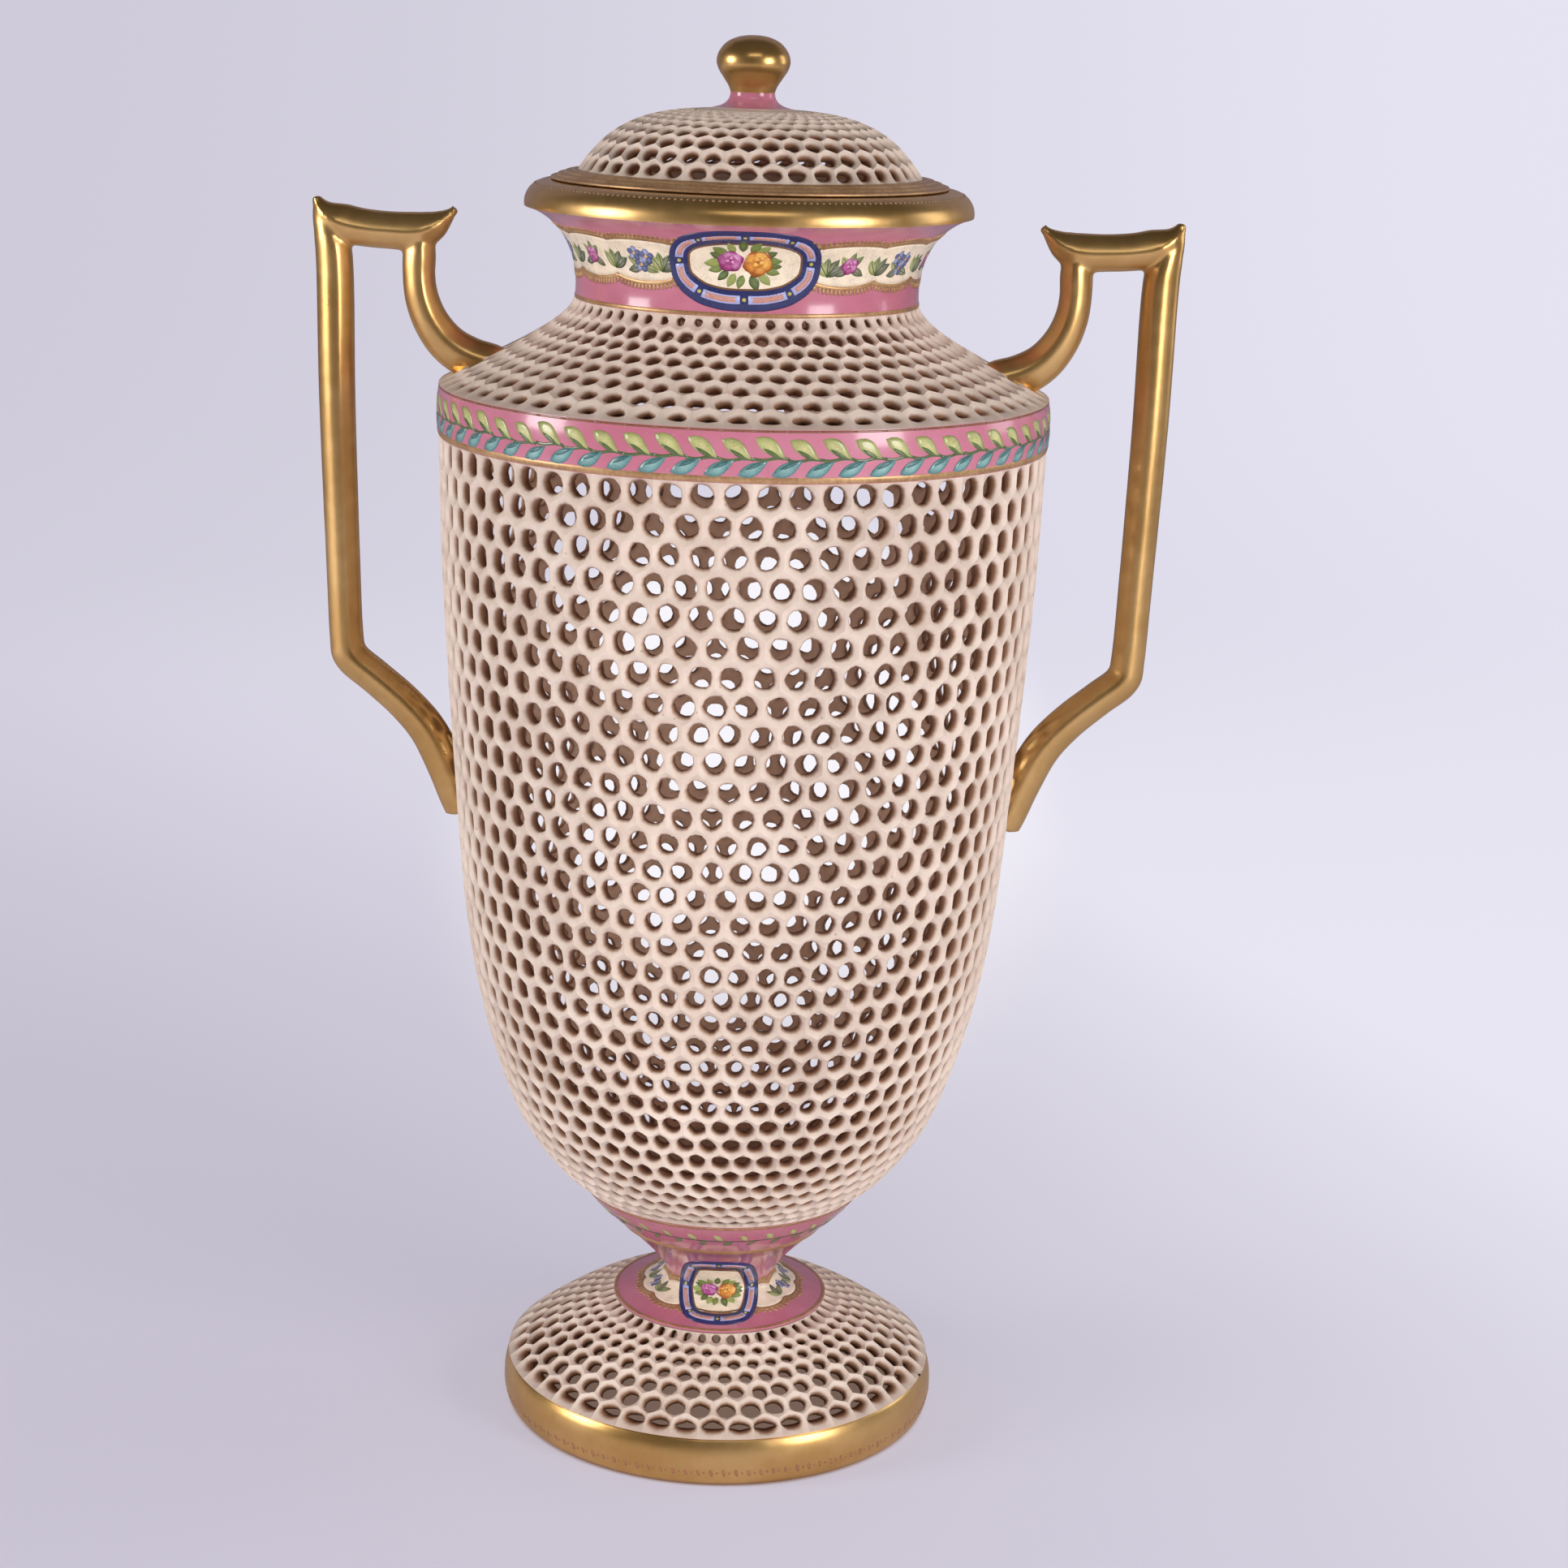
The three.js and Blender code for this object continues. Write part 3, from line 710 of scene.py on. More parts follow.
def net(node, name, body, curve, columns, rows, hole, below, above, wall, seed,
        first=1.0, last=1.0, last_hole=1.0):
    """A pierced wall. The margins below the first row's middle and above the last one's are in
    turned length, and what is left between them is shared by the rows. The holes change from the
    first row's size to the last one's."""
    total = lengths(even(curve, RAIL_POINTS, turned=True), turned=True)[-1]
    per_column = TURN / columns
    pitch = (total - below - above) / (rows - 1) / per_column
    profile = rail(name + "_profile", curve, wall, True)
    cell = cell_piece(name + "_cell", pitch, hole)
    made = grown(name, PIERCED, {
        "Cell": cell, "Profile": profile, "Columns": columns, "Rows": rows, "Row pitch": pitch,
        "First row": below / per_column, "Length": total / per_column, "Hole below": first,
        "Hole above": last, "Last row hole": last_hole, "Seed": seed, "Material": IVORY,
    }, [cell, profile])
    keep(made, body, "ivory_porcelain", node)


net("body_lattice", "jar_net", "jar", body_curve, 62, 33, 0.71, 0.075, 0.045, 3.0, 11)
net("shoulder_lattice", "shoulder_net", "jar", shoulder_curve, 62, 8, 0.75, 0.055, 0.04, 2.8, 23,
    first=0.84, last_hole=0.62)
net("foot_lattice", "foot_net", "jar", foot_curve, 48, 7, 0.71, 0.061, 0.083, 2.6, 37,
    first=1.14, last=0.8)
net("lid_lattice", "lid_net", "lid", lid_curve, 42, 10, 0.72, 0.055, 0.085, 2.7, 51,
    last=1.22, last_hole=1.14)


# Turned castings

foot_rim_outer = joined(
    eased([(46.2, 0), (50.2, 0), (51.5, 1.6), (52, 4.6)], 1.2),
    spline([(52, 4.6), (51.9, 7.4), (51.45, 9.6), (50.85, 11.1)], 5),
    [(50.85, 11.1), (50.6, 11.4), (51, 11.8)],
)
keep(turned("foot_rim", foot_rim_outer, [(46.6, 11.8), (46.2, 0.6)], GILT, BISCUIT),
     "jar", "burnished_gilding", "foot_ring")

pedestal_curve = joined(stem_curve, cup_curve)
pedestal_bore = [(0, 39.7), (9.8, STEM_TOP), (9.8, 30.4), (18.9, FOOT_TOP)]
pedestal_outer = joined(
    pedestal_bore, [(18.9, FOOT_TOP), (25.2, FOOT_TOP), (25.7, 26.7), (25.7, 27.1)], pedestal_curve)
pedestal_inner = [(30.2, CUP_TOP), (21.0, 48.2), (17.6, 44), (9.8, 43.2), (0, 43.2)]
keep(turned("pedestal", pedestal_outer, pedestal_inner, ROSE, BISCUIT),
     "jar", "rose_enamel", "stem", "body_cup")

keep(turned("band_casting", band_curve, [(65.2, BAND_TOP), (65.2, BODY_TOP)], ROSE, BISCUIT),
     "jar", "rose_enamel", "shoulder_band")

neck_inner = [(NECK_RADIUS, NECK_TOP), (35.1, 276.6), (35.1, SHOULDER_TOP)]
keep(turned("neck_casting", neck_curve, neck_inner, ROSE, BISCUIT), "jar", "rose_enamel", "neck")

LIP_RADIUS = 44.8
LIP_POINTS = 28
lip_turn = np.linspace(-0.14, math.pi / 2, LIP_POINTS)
lip_outer = joined(
    np.column_stack([LIP_RADIUS + 5.2 * np.cos(lip_turn), 286.3 + 5 * np.sin(lip_turn)]),
    eased([(LIP_RADIUS, LIP_TOP), (NECK_RADIUS, LIP_TOP), (NECK_RADIUS, NECK_TOP)], 0.5),
)
keep(turned("lip_roll", lip_outer, [], GILT), "jar", "burnished_gilding", "mouth_lip")

flange_outer = eased([
    (34.6, LID_SEAT), (44.2, LID_SEAT), (44.2, 292.1), (42.8, 292.3), (42.6, 292.8), (41.1, 292.9),
    (40.9, 293.4), (39.4, 293.4), (39.2, LID_RIM_TOP), (38.2, LID_RIM_TOP)], 0.25, 2)
keep(turned("lid_flange", flange_outer, [(34.6, LID_RIM_TOP)], LINE_GILT),
     "lid", "burnished_gilding", "lid_rim")
locator_outer = eased([(34.7, 284.6), (36.9, 284.6), (37.7, 285.7), (37.7, LID_SEAT)], 0.4)
keep(turned("lid_locator", locator_outer, [(34.7, LID_SEAT)], IVORY),
     "lid", "ivory_porcelain", "lid_locating_ring")
keep(turned("lid_crown", crown_curve, [(4.6, COLLAR_FOOT), (4.6, 304.4), (12.8, 304.4)], IVORY),
     "lid", "ivory_porcelain", "lid_lattice")
collar_outer = joined(
    [(0, 304.6), (4.3, 304.6), (4.3, COLLAR_FOOT)],
    bezier([(8.4, COLLAR_FOOT), (6.2, 308.3), (4.9, 309.4), (4.9, KNOB_FOOT)], 10),
    [(4.9, KNOB_FOOT), (0, KNOB_FOOT)],
)
keep(turned("lid_collar_pink", collar_outer, [], ROSE, segments=96), "lid", "rose_enamel", "lid_collar")
knob_outer = joined(
    [(0, KNOB_FOOT), (4.9, KNOB_FOOT)],
    spline([(4.9, KNOB_FOOT), (5.4, 312.5), (6.5, 314.2), (7.7, 316.1), (8.15, 317.9), (7.6, 319.9),
            (6.0, 321.8), (3.8, 322.9), (1.6, 323.35), (0, 323.4)], 5),
)
keep(turned("gilt_knob", knob_outer, [], GILT, segments=96), "lid", "burnished_gilding", "lid_knob")


# Painted and gilt ornament

def ring_tree():
    """Copies of one flat ornament set round a turned wall at even turns, in groups of which
    only the first few copies are kept."""
    tree, given = new_group("GeometryNodeTree", "ring of ornaments", {
        "Ornament": "Object", "Profile": "Object", "Length": 0.1, "Count": 16, "Group": 1, "Kept": 1,
        "First turn": 0.0, "Height": 0.0, "Reference radius": 0.0, "Unevenness": 0.0, "Seed": 1,
        "Material": "Material"}, "Geometry", "Geometry")
    uneven = given["Unevenness"]
    index = tree.get("GeometryNodeInputIndex")
    points = tree.get("GeometryNodePoints", {"Count": given["Count"]})
    points = tree.store(points, "turn", given["First turn"] + index * (TURN / given["Count"]))
    left_out = {"Geometry": points, "Selection": index % given["Group"] + 0.5 > given["Kept"]}
    points = tree.get("GeometryNodeDeleteGeometry", left_out, domain="POINT")
    size = tree.chance(1.0 - uneven, 1.0 + uneven, given["Seed"])
    copies = {"Points": points, "Instance": tree.shape_of(given["Ornament"]), "Scale": size}
    mesh = tree.get("GeometryNodeRealizeInstances", {0: tree.get("GeometryNodeInstanceOnPoints", copies)})
    x, y, z = tree.split(tree.point_place())
    place = {
        "Share": (given["Height"] + y) / given["Length"], "Turn": tree.attribute("turn"), "Across": x,
        "Depth": z * -1.0, "Reference radius": given["Reference radius"],
    }
    return wrapped(tree, given, mesh, place, touching=1e-6)


RING = ring_tree()
SUNK = -0.05
LOOP_POINTS = 96


def tone(share, low, high):
    return tuple((1 - share) * a + share * b for a, b in zip(low, high))


def laid(points, at, turn):
    """Points of a plan, turned by degrees and set down at a place."""
    angle = math.radians(turn)
    across = (math.cos(angle), math.sin(angle))
    upward = (-math.sin(angle), math.cos(angle))
    return np.array(points) @ np.array([across, upward]) + np.array(at)


def round_outline(at, size, turn=0.0, lobes=0, depth=0.0, count=14):
    """A round or lobed outline."""
    angle = np.arange(count) / count * TURN
    reach = 1 + depth * np.cos(lobes * angle)
    points = np.column_stack([size[0] * reach * np.cos(angle), size[1] * reach * np.sin(angle)])
    return laid(points, at, turn)


def leaf_outline(base, size, turn, fullest=1.0, bend=0.0):
    """A pointed leaf that grows from its base; fullest moves its widest part out."""
    up = np.linspace(0, 1, 8)
    half = size[1] / 2 * np.sin(math.pi * up ** fullest) ** 0.85
    middle = bend * size[0] * up * (1 - up)
    right = np.column_stack([size[0] * up, middle - half])
    left = np.column_stack([size[0] * up, middle + half])[-2:0:-1]
    return laid(np.vstack([right, left]), base, turn)


def loop_through(half):
    """A closed smooth loop through corners down its right side and their mirror images."""
    corners = np.array(half + [(-x, y) for x, y in half[-2:0:-1]], float)
    steps = 12
    run = spline(np.vstack([corners[-2:], corners, corners[:3]]), steps)[2 * steps:-2 * steps]
    return even(run, LOOP_POINTS + 1)[:-1]


def inset(loop, distance, rise):
    """A closed loop moved in from its edge, more or less far in height."""
    run = np.roll(loop, -1, axis=0) - np.roll(loop, 1, axis=0)
    run /= np.linalg.norm(run, axis=1)[:, None]
    inward = np.column_stack([run[:, 1], -run[:, 0]])
    side = np.sign(((loop.mean(axis=0) - loop) * inward).sum(axis=1).mean())
    return loop + side * distance * inward * (1, rise)


class Plan:
    """Closed low shapes in a flat plan: x across, y up and z off the wall."""

    def __init__(self):
        self.positions = []
        self.faces = []
        self.colours = []

    def add(self, positions, faces, colours):
        start = len(self.positions)
        self.positions += [tuple(place) for place in positions]
        self.faces += [tuple(start + k for k in face) for face in faces]
        self.colours += colours

    def patch(self, outline, edge, middle, level, dome=0.02, rings=2):
        """A filled outline, a little domed, from an edge colour to a middle one."""
        outline = np.array(outline, float)
        centre = outline.mean(axis=0)
        count = len(outline)
        rows = [(1 - k / rings, SUNK, 0.0) for k in range(rings - 1, 0, -1)] if rings > 2 else []
        rows += [(1.0, SUNK, 0.0), (0.98, level, 0.0)]
        rows += [(1 - k / rings, level + dome * math.sqrt(k / rings), k / rings) for k in range(1, rings)]
        positions = []
        colours = []
        for share, lift, inner in rows:
            positions += [(*(centre + share * (corner - centre)), lift) for corner in outline]
            colours += [tone(inner, edge, middle)] * count
        last = len(positions) - count
        positions += [(*centre, level + dome), (*centre, SUNK)]
        colours += [middle, edge]
        faces = strips(len(rows), count)
        for side in range(count):
            after = (side + 1) % count
            faces.append((last + side, last + after, last + count))
            faces.append((after, side, last + count + 1))
        self.add(positions, faces, colours)

    def ribbon(self, path, width, colour, level, closed=False):
        """A flat strip along a path."""
        path = np.array(path, float)
        if closed:
            run = np.roll(path, -1, axis=0) - np.roll(path, 1, axis=0)
        else:
            run = np.gradient(path, axis=0)
        run /= np.linalg.norm(run, axis=1)[:, None]
        side = np.column_stack([-run[:, 1], run[:, 0]]) * width / 2
        count = len(path)
        rows = [(-1.0, SUNK), (-0.85, level), (0.0, level + 0.01), (0.85, level), (1.0, SUNK)]
        positions = [(*(place + share * across), lift)
                     for share, lift in rows for place, across in zip(path, side)]
        faces = strips(len(rows), count, around=True, closed=closed)
        if not closed:
            ends = range(0, len(positions), count)
            faces += [tuple(ends), tuple(k + count - 1 for k in reversed(ends))]
        self.add(positions, faces, [colour] * len(positions))

    def field(self, width, low_edge, high_edge, colour, rows):
        """A panel as wide as one unit, between two edges, that meets the units beside it."""
        level = 0.05
        columns = 18
        positions = []
        for column in range(columns + 1):
            x = width * (column / columns - 0.5)
            low = low_edge(x)
            high = high_edge(x)
            for row in range(rows + 1):
                lift = level if 0 < row < rows else level / 2
                positions.append((x, low + row / rows * (high - low), lift))
            for row in range(rows, -1, -1):
                positions.append((x, low + row / rows * (high - low), SUNK))
        self.add(positions, strips(columns + 1, 2 * (rows + 1)), [colour] * len(positions))

    def object(self, name):
        mesh = new_mesh(name, [(x * MM, y * MM, z * MM) for x, y, z in self.positions], self.faces)
        paint = mesh.attributes.new("paint", "FLOAT_COLOR", "POINT")
        paint.data.foreach_set("color", np.array(self.colours, float).ravel())
        return new_piece(name, mesh)


def ringed(name, plan, curve, count, first=0, height=0, finish=PAINT, slot="rose_enamel", group=1, kept=1,
           reference=0.0, unevenness=0.0, seed=1):
    """One ornament set round a casting: first is the first one's turn in degrees."""
    profile = rail(name + "_profile", curve, 1.0, False)
    ornament = plan.object(name + "_unit")
    made = grown(name, RING, {
        "Ornament": ornament, "Profile": profile, "Length": lengths(curve)[-1] * MM, "Count": count,
        "Group": group, "Kept": kept, "First turn": math.radians(first), "Height": height * MM,
        "Reference radius": reference * MM, "Unevenness": unevenness, "Seed": seed, "Material": finish,
    }, [ornament, profile])
    keep(made, "jar", slot)


def gilt_lines(*lines):
    """Raised gilt lines round the castings: each on a profile, between two lengths up it."""
    slope = 0.12
    positions = []
    faces = []
    for curve, start, stop in lines:
        along = lengths(curve)
        places = (start, start + slope, (start + stop) / 2, stop - slope, stop)
        lifts = np.array([SUNK, 0.07, 0.1, 0.07, SUNK])[:, None]
        section = read_off(places, along, curve) + lifts * read_off(places, along, outward(curve))
        more_positions, more_faces, _ = revolved(section, first=len(positions))
        positions += more_positions
        faces += more_faces
    mesh = new_mesh("gilt_lines", positions, faces, LINE_GILT)
    smooth_mesh(mesh, 60)
    keep(new_piece("gilt_lines", mesh), "jar", "burnished_gilding")


CREAM = rgba(243, 226, 200)
NAVY = rgba(42, 48, 98)
LILAC = rgba(176, 180, 226)
PANEL = rgba(204, 148, 134)
UMBER = rgba(122, 84, 50)
OLIVES = [rgba(112, 130, 62), rgba(66, 88, 42), rgba(150, 160, 86), rgba(54, 76, 52)]
MAGENTA = (rgba(136, 34, 98), rgba(188, 84, 152), rgba(232, 184, 216))
AMBER = (rgba(170, 82, 30), rgba(232, 156, 58), rgba(248, 208, 112))
BLUES = (rgba(66, 74, 118), rgba(116, 126, 166), rgba(176, 184, 210))
SCALLOP_SHARPNESS = 0.6
MEDALLION_PANELS = 8


def rose(plan, at, size, tones, turn, level=0.1):
    """A full-blown rose: overlapping outer petals round a cupped, darker heart."""
    deep, mid, light = tones
    plan.patch(round_outline(at, (size, size * 0.92), turn, 5, 0.08, 20), deep, mid, level)
    for k in range(5):
        angle = math.radians(turn + 72 * k + 20)
        middle = np.array(at) + 0.5 * size * np.array([math.cos(angle), math.sin(angle)])
        lit = 0.5 + 0.5 * math.sin(angle + 0.6)
        plan.patch(round_outline(middle, (0.5 * size, 0.4 * size), math.degrees(angle) + 90),
                   tone(lit, deep, mid), tone(lit, mid, light), level + 0.015 + 0.003 * k)
    heart = np.array(at) + (0.02 * size, 0.1 * size)
    plan.patch(round_outline(heart, (0.46 * size, 0.42 * size)), mid, deep, level + 0.04)
    inner_petal = round_outline((0.22 * size, 0), (0.26 * size, 0.15 * size))
    for k in range(3):
        plan.patch(laid(inner_petal, heart, turn + 120 * k + 60), mid, light, level + 0.055 + 0.003 * k)
    plan.patch(round_outline(heart, (0.13 * size, 0.11 * size), count=8), deep, deep, level + 0.07)


def small_blue(plan, at, size):
    """A loose blue flower of five round petals and a warm eye."""
    level = 0.1
    deep, mid, light = BLUES
    for k in range(5):
        petal = laid(round_outline((0.52 * size, 0), (0.46 * size, 0.4 * size)), at, 72 * k + 12)
        plan.patch(petal, (deep, mid)[k % 2], light if k % 2 else mid, level + 0.004 * k)
    plan.patch(round_outline(at, (0.2 * size, 0.2 * size), count=8), AMBER[1], AMBER[2], level + 0.03)


def sprig(base, size, turns):
    """A new plan with a few leaves from one point, each with a lit side."""
    level = 0.07
    plan = Plan()
    for k, turn in enumerate(turns):
        colour = OLIVES[k % 4]
        plan.patch(leaf_outline(base, (size, 0.46 * size), turn, 0.9, 0.12), colour,
                   tone(0.35, colour, CREAM), level + 0.006 * k)
        tip = laid([(0, 0), (0.86 * size, 0)], base, turn)
        plan.ribbon(np.linspace(tip[0], tip[1], 5), 0.05 * size, OLIVES[1], level + 0.035 + 0.006 * k)
    return plan


def scallop(width, height, swell):
    """The height of a scalloped edge: swell is how far it bulges in the middle of the unit."""
    return lambda x: height + swell * abs(math.cos(math.pi * x / width)) ** SCALLOP_SHARPNESS


def fringe(plan, width, edge, side, beads):
    """A gilt line along a scalloped edge with a row of drops hung on its outer side."""
    across = np.linspace(-width / 2, width / 2, 25)
    plan.ribbon([(x, edge(x) + side * 0.3) for x in across], 1.1, UMBER, 0.1)
    for k in range(beads):
        x = width * ((k + 0.5) / beads - 0.5)
        slope = (edge(x + 0.2) - edge(x - 0.2)) / 0.4
        turn = math.degrees(math.atan(slope))
        drop = laid([(0, side * 1.1)], (x, edge(x)), turn)[0]
        plan.patch(round_outline(drop, (0.38, 0.72), turn, count=8), UMBER, UMBER, 0.08, 0.08)


def reserve_band(part, curve, radius, count, first, low, high, rows, beads):
    """A cream reserve round a casting, with scalloped edges that have a gilt fringe."""
    unit = TURN * radius / count
    low_edge = scallop(unit, *low)
    high_edge = scallop(unit, *high)
    reserve = Plan()
    reserve.field(unit, low_edge, high_edge, CREAM, rows)
    ringed(part + "_reserve", reserve, curve, count, first, reference=radius)
    edging = Plan()
    fringe(edging, unit, low_edge, -1, beads)
    fringe(edging, unit, high_edge, 1, beads)
    ringed(part + "_fringe", edging, curve, count, first, finish=LINE_GILT, slot="burnished_gilding",
           reference=radius)


def bouquet(plan, at, size, level):
    """A magenta and an amber rose side by side in a wreath of leaves; size is half its width."""
    random.seed(7)
    for k in range(17):
        angle = TURN * k / 17 + 0.2
        out = np.array([math.cos(angle), 0.6 * math.sin(angle)])
        turn = math.degrees(math.atan2(out[1], out[0])) + random.uniform(-16, 16)
        long = 0.42 * size * random.uniform(0.85, 1.1)
        colour = OLIVES[k % 3]
        plan.patch(leaf_outline(np.array(at) + 0.52 * size * out, (long, 0.55 * long), turn, 0.85),
                   colour, tone(0.45, colour, OLIVES[2]), level)
    rose(plan, (at[0] - 0.34 * size, at[1] + 0.04 * size), 0.31 * size, MAGENTA, 15, level + 0.02)
    rose(plan, (at[0] + 0.3 * size, at[1]), 0.36 * size, AMBER, 50, level + 0.03)


def medallions(part, curve, half_loop, band, rise, bouquet_at, bouquet_size, bouquet_level):
    """A cream field with a bouquet, in a blue ring of oblong panels, on the front and the back."""
    level = 0.2
    loop = loop_through(half_loop)
    plan = Plan()
    middle = inset(loop, band / 2, rise)
    plan.ribbon(middle, 1.2 * band, NAVY, level, closed=True)
    count = len(middle)
    reach = count / MEDALLION_PANELS
    for k in range(MEDALLION_PANELS):
        start = int(round((k + 0.1) * reach))
        stop = int(round((k + 0.9) * reach))
        piece = [middle[place % count] for place in range(start, stop + 1)]
        plan.ribbon(piece, 0.5 * band, LILAC, level + 0.03)
        plan.ribbon(piece[1:-1], 0.32 * band, PANEL, level + 0.05)
        knot = middle[int(round(k * reach)) % count]
        knot = round_outline(knot, (0.12 * band, 0.12 * band), count=8)
        plan.patch(knot, OLIVES[0], AMBER[2], level + 0.03)
    plan.ribbon(inset(loop, 1.02 * band, rise), 0.12 * band, UMBER, level + 0.04, closed=True)
    plan.patch(inset(loop, band, rise), CREAM, CREAM, level + 0.02, 0.0, 14)
    bouquet(plan, bouquet_at, bouquet_size, bouquet_level)
    ringed(part + "_medallions", plan, curve, 2)


# The neck: a cream reserve with scalloped edges, flowers and a medallion front and back

reserve_band("neck", neck_curve, NECK_RADIUS, 16, 33.75, (7.7, -1.3), (15.7, 0.9), 9, 16)

NECK_MIDDLE = 11.2
posy = sprig((0.2, -0.6), 4.2, (48, -24, 132, 200, 86))
rose(posy, (0, 0.1), 2.2, MAGENTA, 30)
ringed("neck_roses", posy, neck_curve, 8, 33.75, NECK_MIDDLE, group=4, kept=3)
posy = sprig((0, -1.4), 4.2, (-16, 34, 150, 196))
small_blue(posy, (-1.5, 1.6), 1.9)
small_blue(posy, (1.5, 1.0), 2.0)
small_blue(posy, (-0.1, -1.0), 1.9)
ringed("neck_blues", posy, neck_curve, 8, 56.25, NECK_MIDDLE, group=4, kept=3)
greens = sprig((0, -2.4), 4.8, (96, 62, 124, 34))
ringed("neck_leaves", greens, neck_curve, 16, 45, NECK_MIDDLE, group=8, kept=5)
ringed("neck_leaves_right", greens, neck_curve, 2, 26.3, NECK_MIDDLE)
ringed("neck_leaves_left", greens, neck_curve, 2, -26.3, NECK_MIDDLE)

medallions("neck", neck_curve, [
    (0, 21.3), (5.7, 21.1), (11.4, 19.6), (14.9, 17.1), (16.3, 13.2), (15.2, 7.3), (10.8, 3.5), (5.4, 1.9),
    (0, 1.65)], 4.2, 1.0, (0, 12.0), 9.0, 0.24)

# The band: a laurel garland of paired leaves on a waving stem

BAND_UNIT = TURN * 69.1 / 62
LEAF_TOP = rgba(206, 200, 138)
LEAF_MID = rgba(156, 160, 96)
TEAL_LIGHT = rgba(144, 184, 178)
TEAL_DEEP = rgba(82, 130, 130)
garland = Plan()
wave = np.linspace(-BAND_UNIT / 2, BAND_UNIT / 2, 9)
stalk = [(x, 5.05 + 0.25 * math.sin(TURN * x / BAND_UNIT)) for x in wave]
garland.ribbon(stalk, 0.7, rgba(86, 104, 62), 0.05)
garland.patch(leaf_outline((2.9, 5.1), (7.4, 3.1), 147, 1.25, -0.16), LEAF_MID, LEAF_TOP, 0.07)
garland.patch(leaf_outline((2.2, 4.9), (4.6, 0.9), 150, 1.0), rgba(78, 96, 54), rgba(98, 116, 62), 0.1)
garland.patch(leaf_outline((6.3, 4.9), (7.0, 2.8), 207, 1.2, 0.16), TEAL_DEEP, TEAL_LIGHT, 0.07)
garland.patch(leaf_outline((5.6, 4.7), (4.4, 0.85), 203, 1.0), rgba(54, 92, 88), TEAL_DEEP, 0.1)
ringed("band_garland", garland, band_curve, 62, unevenness=0.05, seed=5)
# Painted shadow: a dark brown line along the band's top edge stands for the shade under the edge of the
# shoulder net
edge = Plan()
edge.ribbon([(x, 10.9) for x in wave], 0.5, rgba(136, 86, 62), 0.04)
ringed("band_edge", edge, band_curve, 62)

# The pedestal and cup: a second reserve with its medallions, and a row of small leaves

reserve_band("waist", pedestal_curve, 14, 12, 15, (8.0, -1.2), (12.9, 1.0), 7, 8)

WAIST_MIDDLE = 10.3
posy = sprig((0, -1.5), 3.8, (40, 92, 140))
ringed("waist_leaves", posy, pedestal_curve, 12, 60, WAIST_MIDDLE, group=6, kept=3)
posy = Plan()
small_blue(posy, (-0.6, 0.7), 1.4)
small_blue(posy, (0.8, -0.5), 1.4)
ringed("waist_blues", posy, pedestal_curve, 12, 75, WAIST_MIDDLE, group=6, kept=2)

medallions("waist", pedestal_curve, [
    (0, 26.8), (4.6, 26.3), (7.6, 24.0), (9.2, 19.6), (10.2, 13.4), (9.0, 6.6), (6.6, 3.4), (3.2, 2.3),
    (0, 2.1)], 3.7, 1.35, (0, 13.6), 6.6, 0.42)

DARK_LEAF = (rgba(84, 100, 60), rgba(122, 140, 90))
small_leaf = Plan()
small_leaf.patch(leaf_outline((0.9, 0.3), (3.6, 1.7), 124, 1.2), LEAF_MID, LEAF_TOP, 0.06)
small_leaf.patch(leaf_outline((3.2, 0.1), (3.2, 1.5), 226, 1.2), *DARK_LEAF, 0.06)
small_leaf.ribbon([(x, 0.2) for x in np.linspace(-3.0, 3.0, 7)], 0.5, rgba(70, 78, 50), 0.05)
ringed("cup_garland", small_leaf, cup_curve, 32, 0, 17.4, unevenness=0.06, seed=9)

gilt_lines((neck_curve, 0.0, 1.0), (band_curve, 0.05, 1.55), (stem_curve, 0.0, 0.9),
           (cup_curve, 9.4, 10.6), (cup_curve, 23.2, 24.2))

# Fine marks in the gilding: ticks round the foot and dots round the lip

TICK_BROWNS = (rgba(150, 98, 62), rgba(166, 112, 70))
tick = Plan()
tick.patch(round_outline((0, 0), (0.4, 0.95), 14, count=10), *TICK_BROWNS, 0.03, 0.02)
tick.patch(round_outline((1.3, 0), (0.3, 0.3), count=8), *TICK_BROWNS, 0.03, 0.02)
ringed("foot_ticks", tick, foot_rim_outer[6:], 112, 0, 3.2, slot="burnished_gilding",
       unevenness=0.12, seed=3)
dot = Plan()
dot.patch(round_outline((0, 0), (0.36, 0.32), count=8), UMBER, rgba(220, 182, 136), 0.03, 0.06)
ringed("lip_dots", dot, lip_outer[:LIP_POINTS], 220, 0, 5.6, slot="burnished_gilding",
       unevenness=0.1, seed=4)


# Handles: three keeled bars on each side, run together and let into the wall. Each station on a
# bar has its place out from the jar and up from the band, and its share of the bar's width.

GRIP = [
    (0.988, 1.0, 0.12), (0.94, 0.9, 0.52), (0.872, 0.775, 0.9), (0.838, 0.6, 1.02), (0.825, -0.06, 1),
    (0.785, -0.42, 0.95), (0.76, -0.595, 0.95), (0.72, -0.643, 1), (0.53, -0.688, 1), (0.295, -0.745, 1.03),
    (0.1, -0.808, 1.07), (-0.045, -0.888, 1.09), (-0.14, -0.963, 1), (-0.175, -1, 0.85),
]
TOP_BAR = [
    (-0.117, 0.956, 0.1), (-0.042, 0.908, 0.44), (0.06, 0.857, 0.84), (0.19, 0.825, 1.04),
    (0.4, 0.825, 1.02), (0.615, 0.836, 1.03), (0.79, 0.862, 1.04), (0.915, 0.919, 0.68), (0.978, 0.995, 0.15),
]
SCROLL = [
    (0.166, 0.833, 0.7), (0.17, 0.705, 0.9), (0.173, 0.574, 0.89), (0.148, 0.447, 0.93), (0.074, 0.315, 1),
    (-0.057, 0.195, 1.1), (-0.233, 0.118, 1.17), (-0.42, 0.088, 1.1), (-0.52, 0.083, 0.9),
]
HANDLE_REACH = 28.3
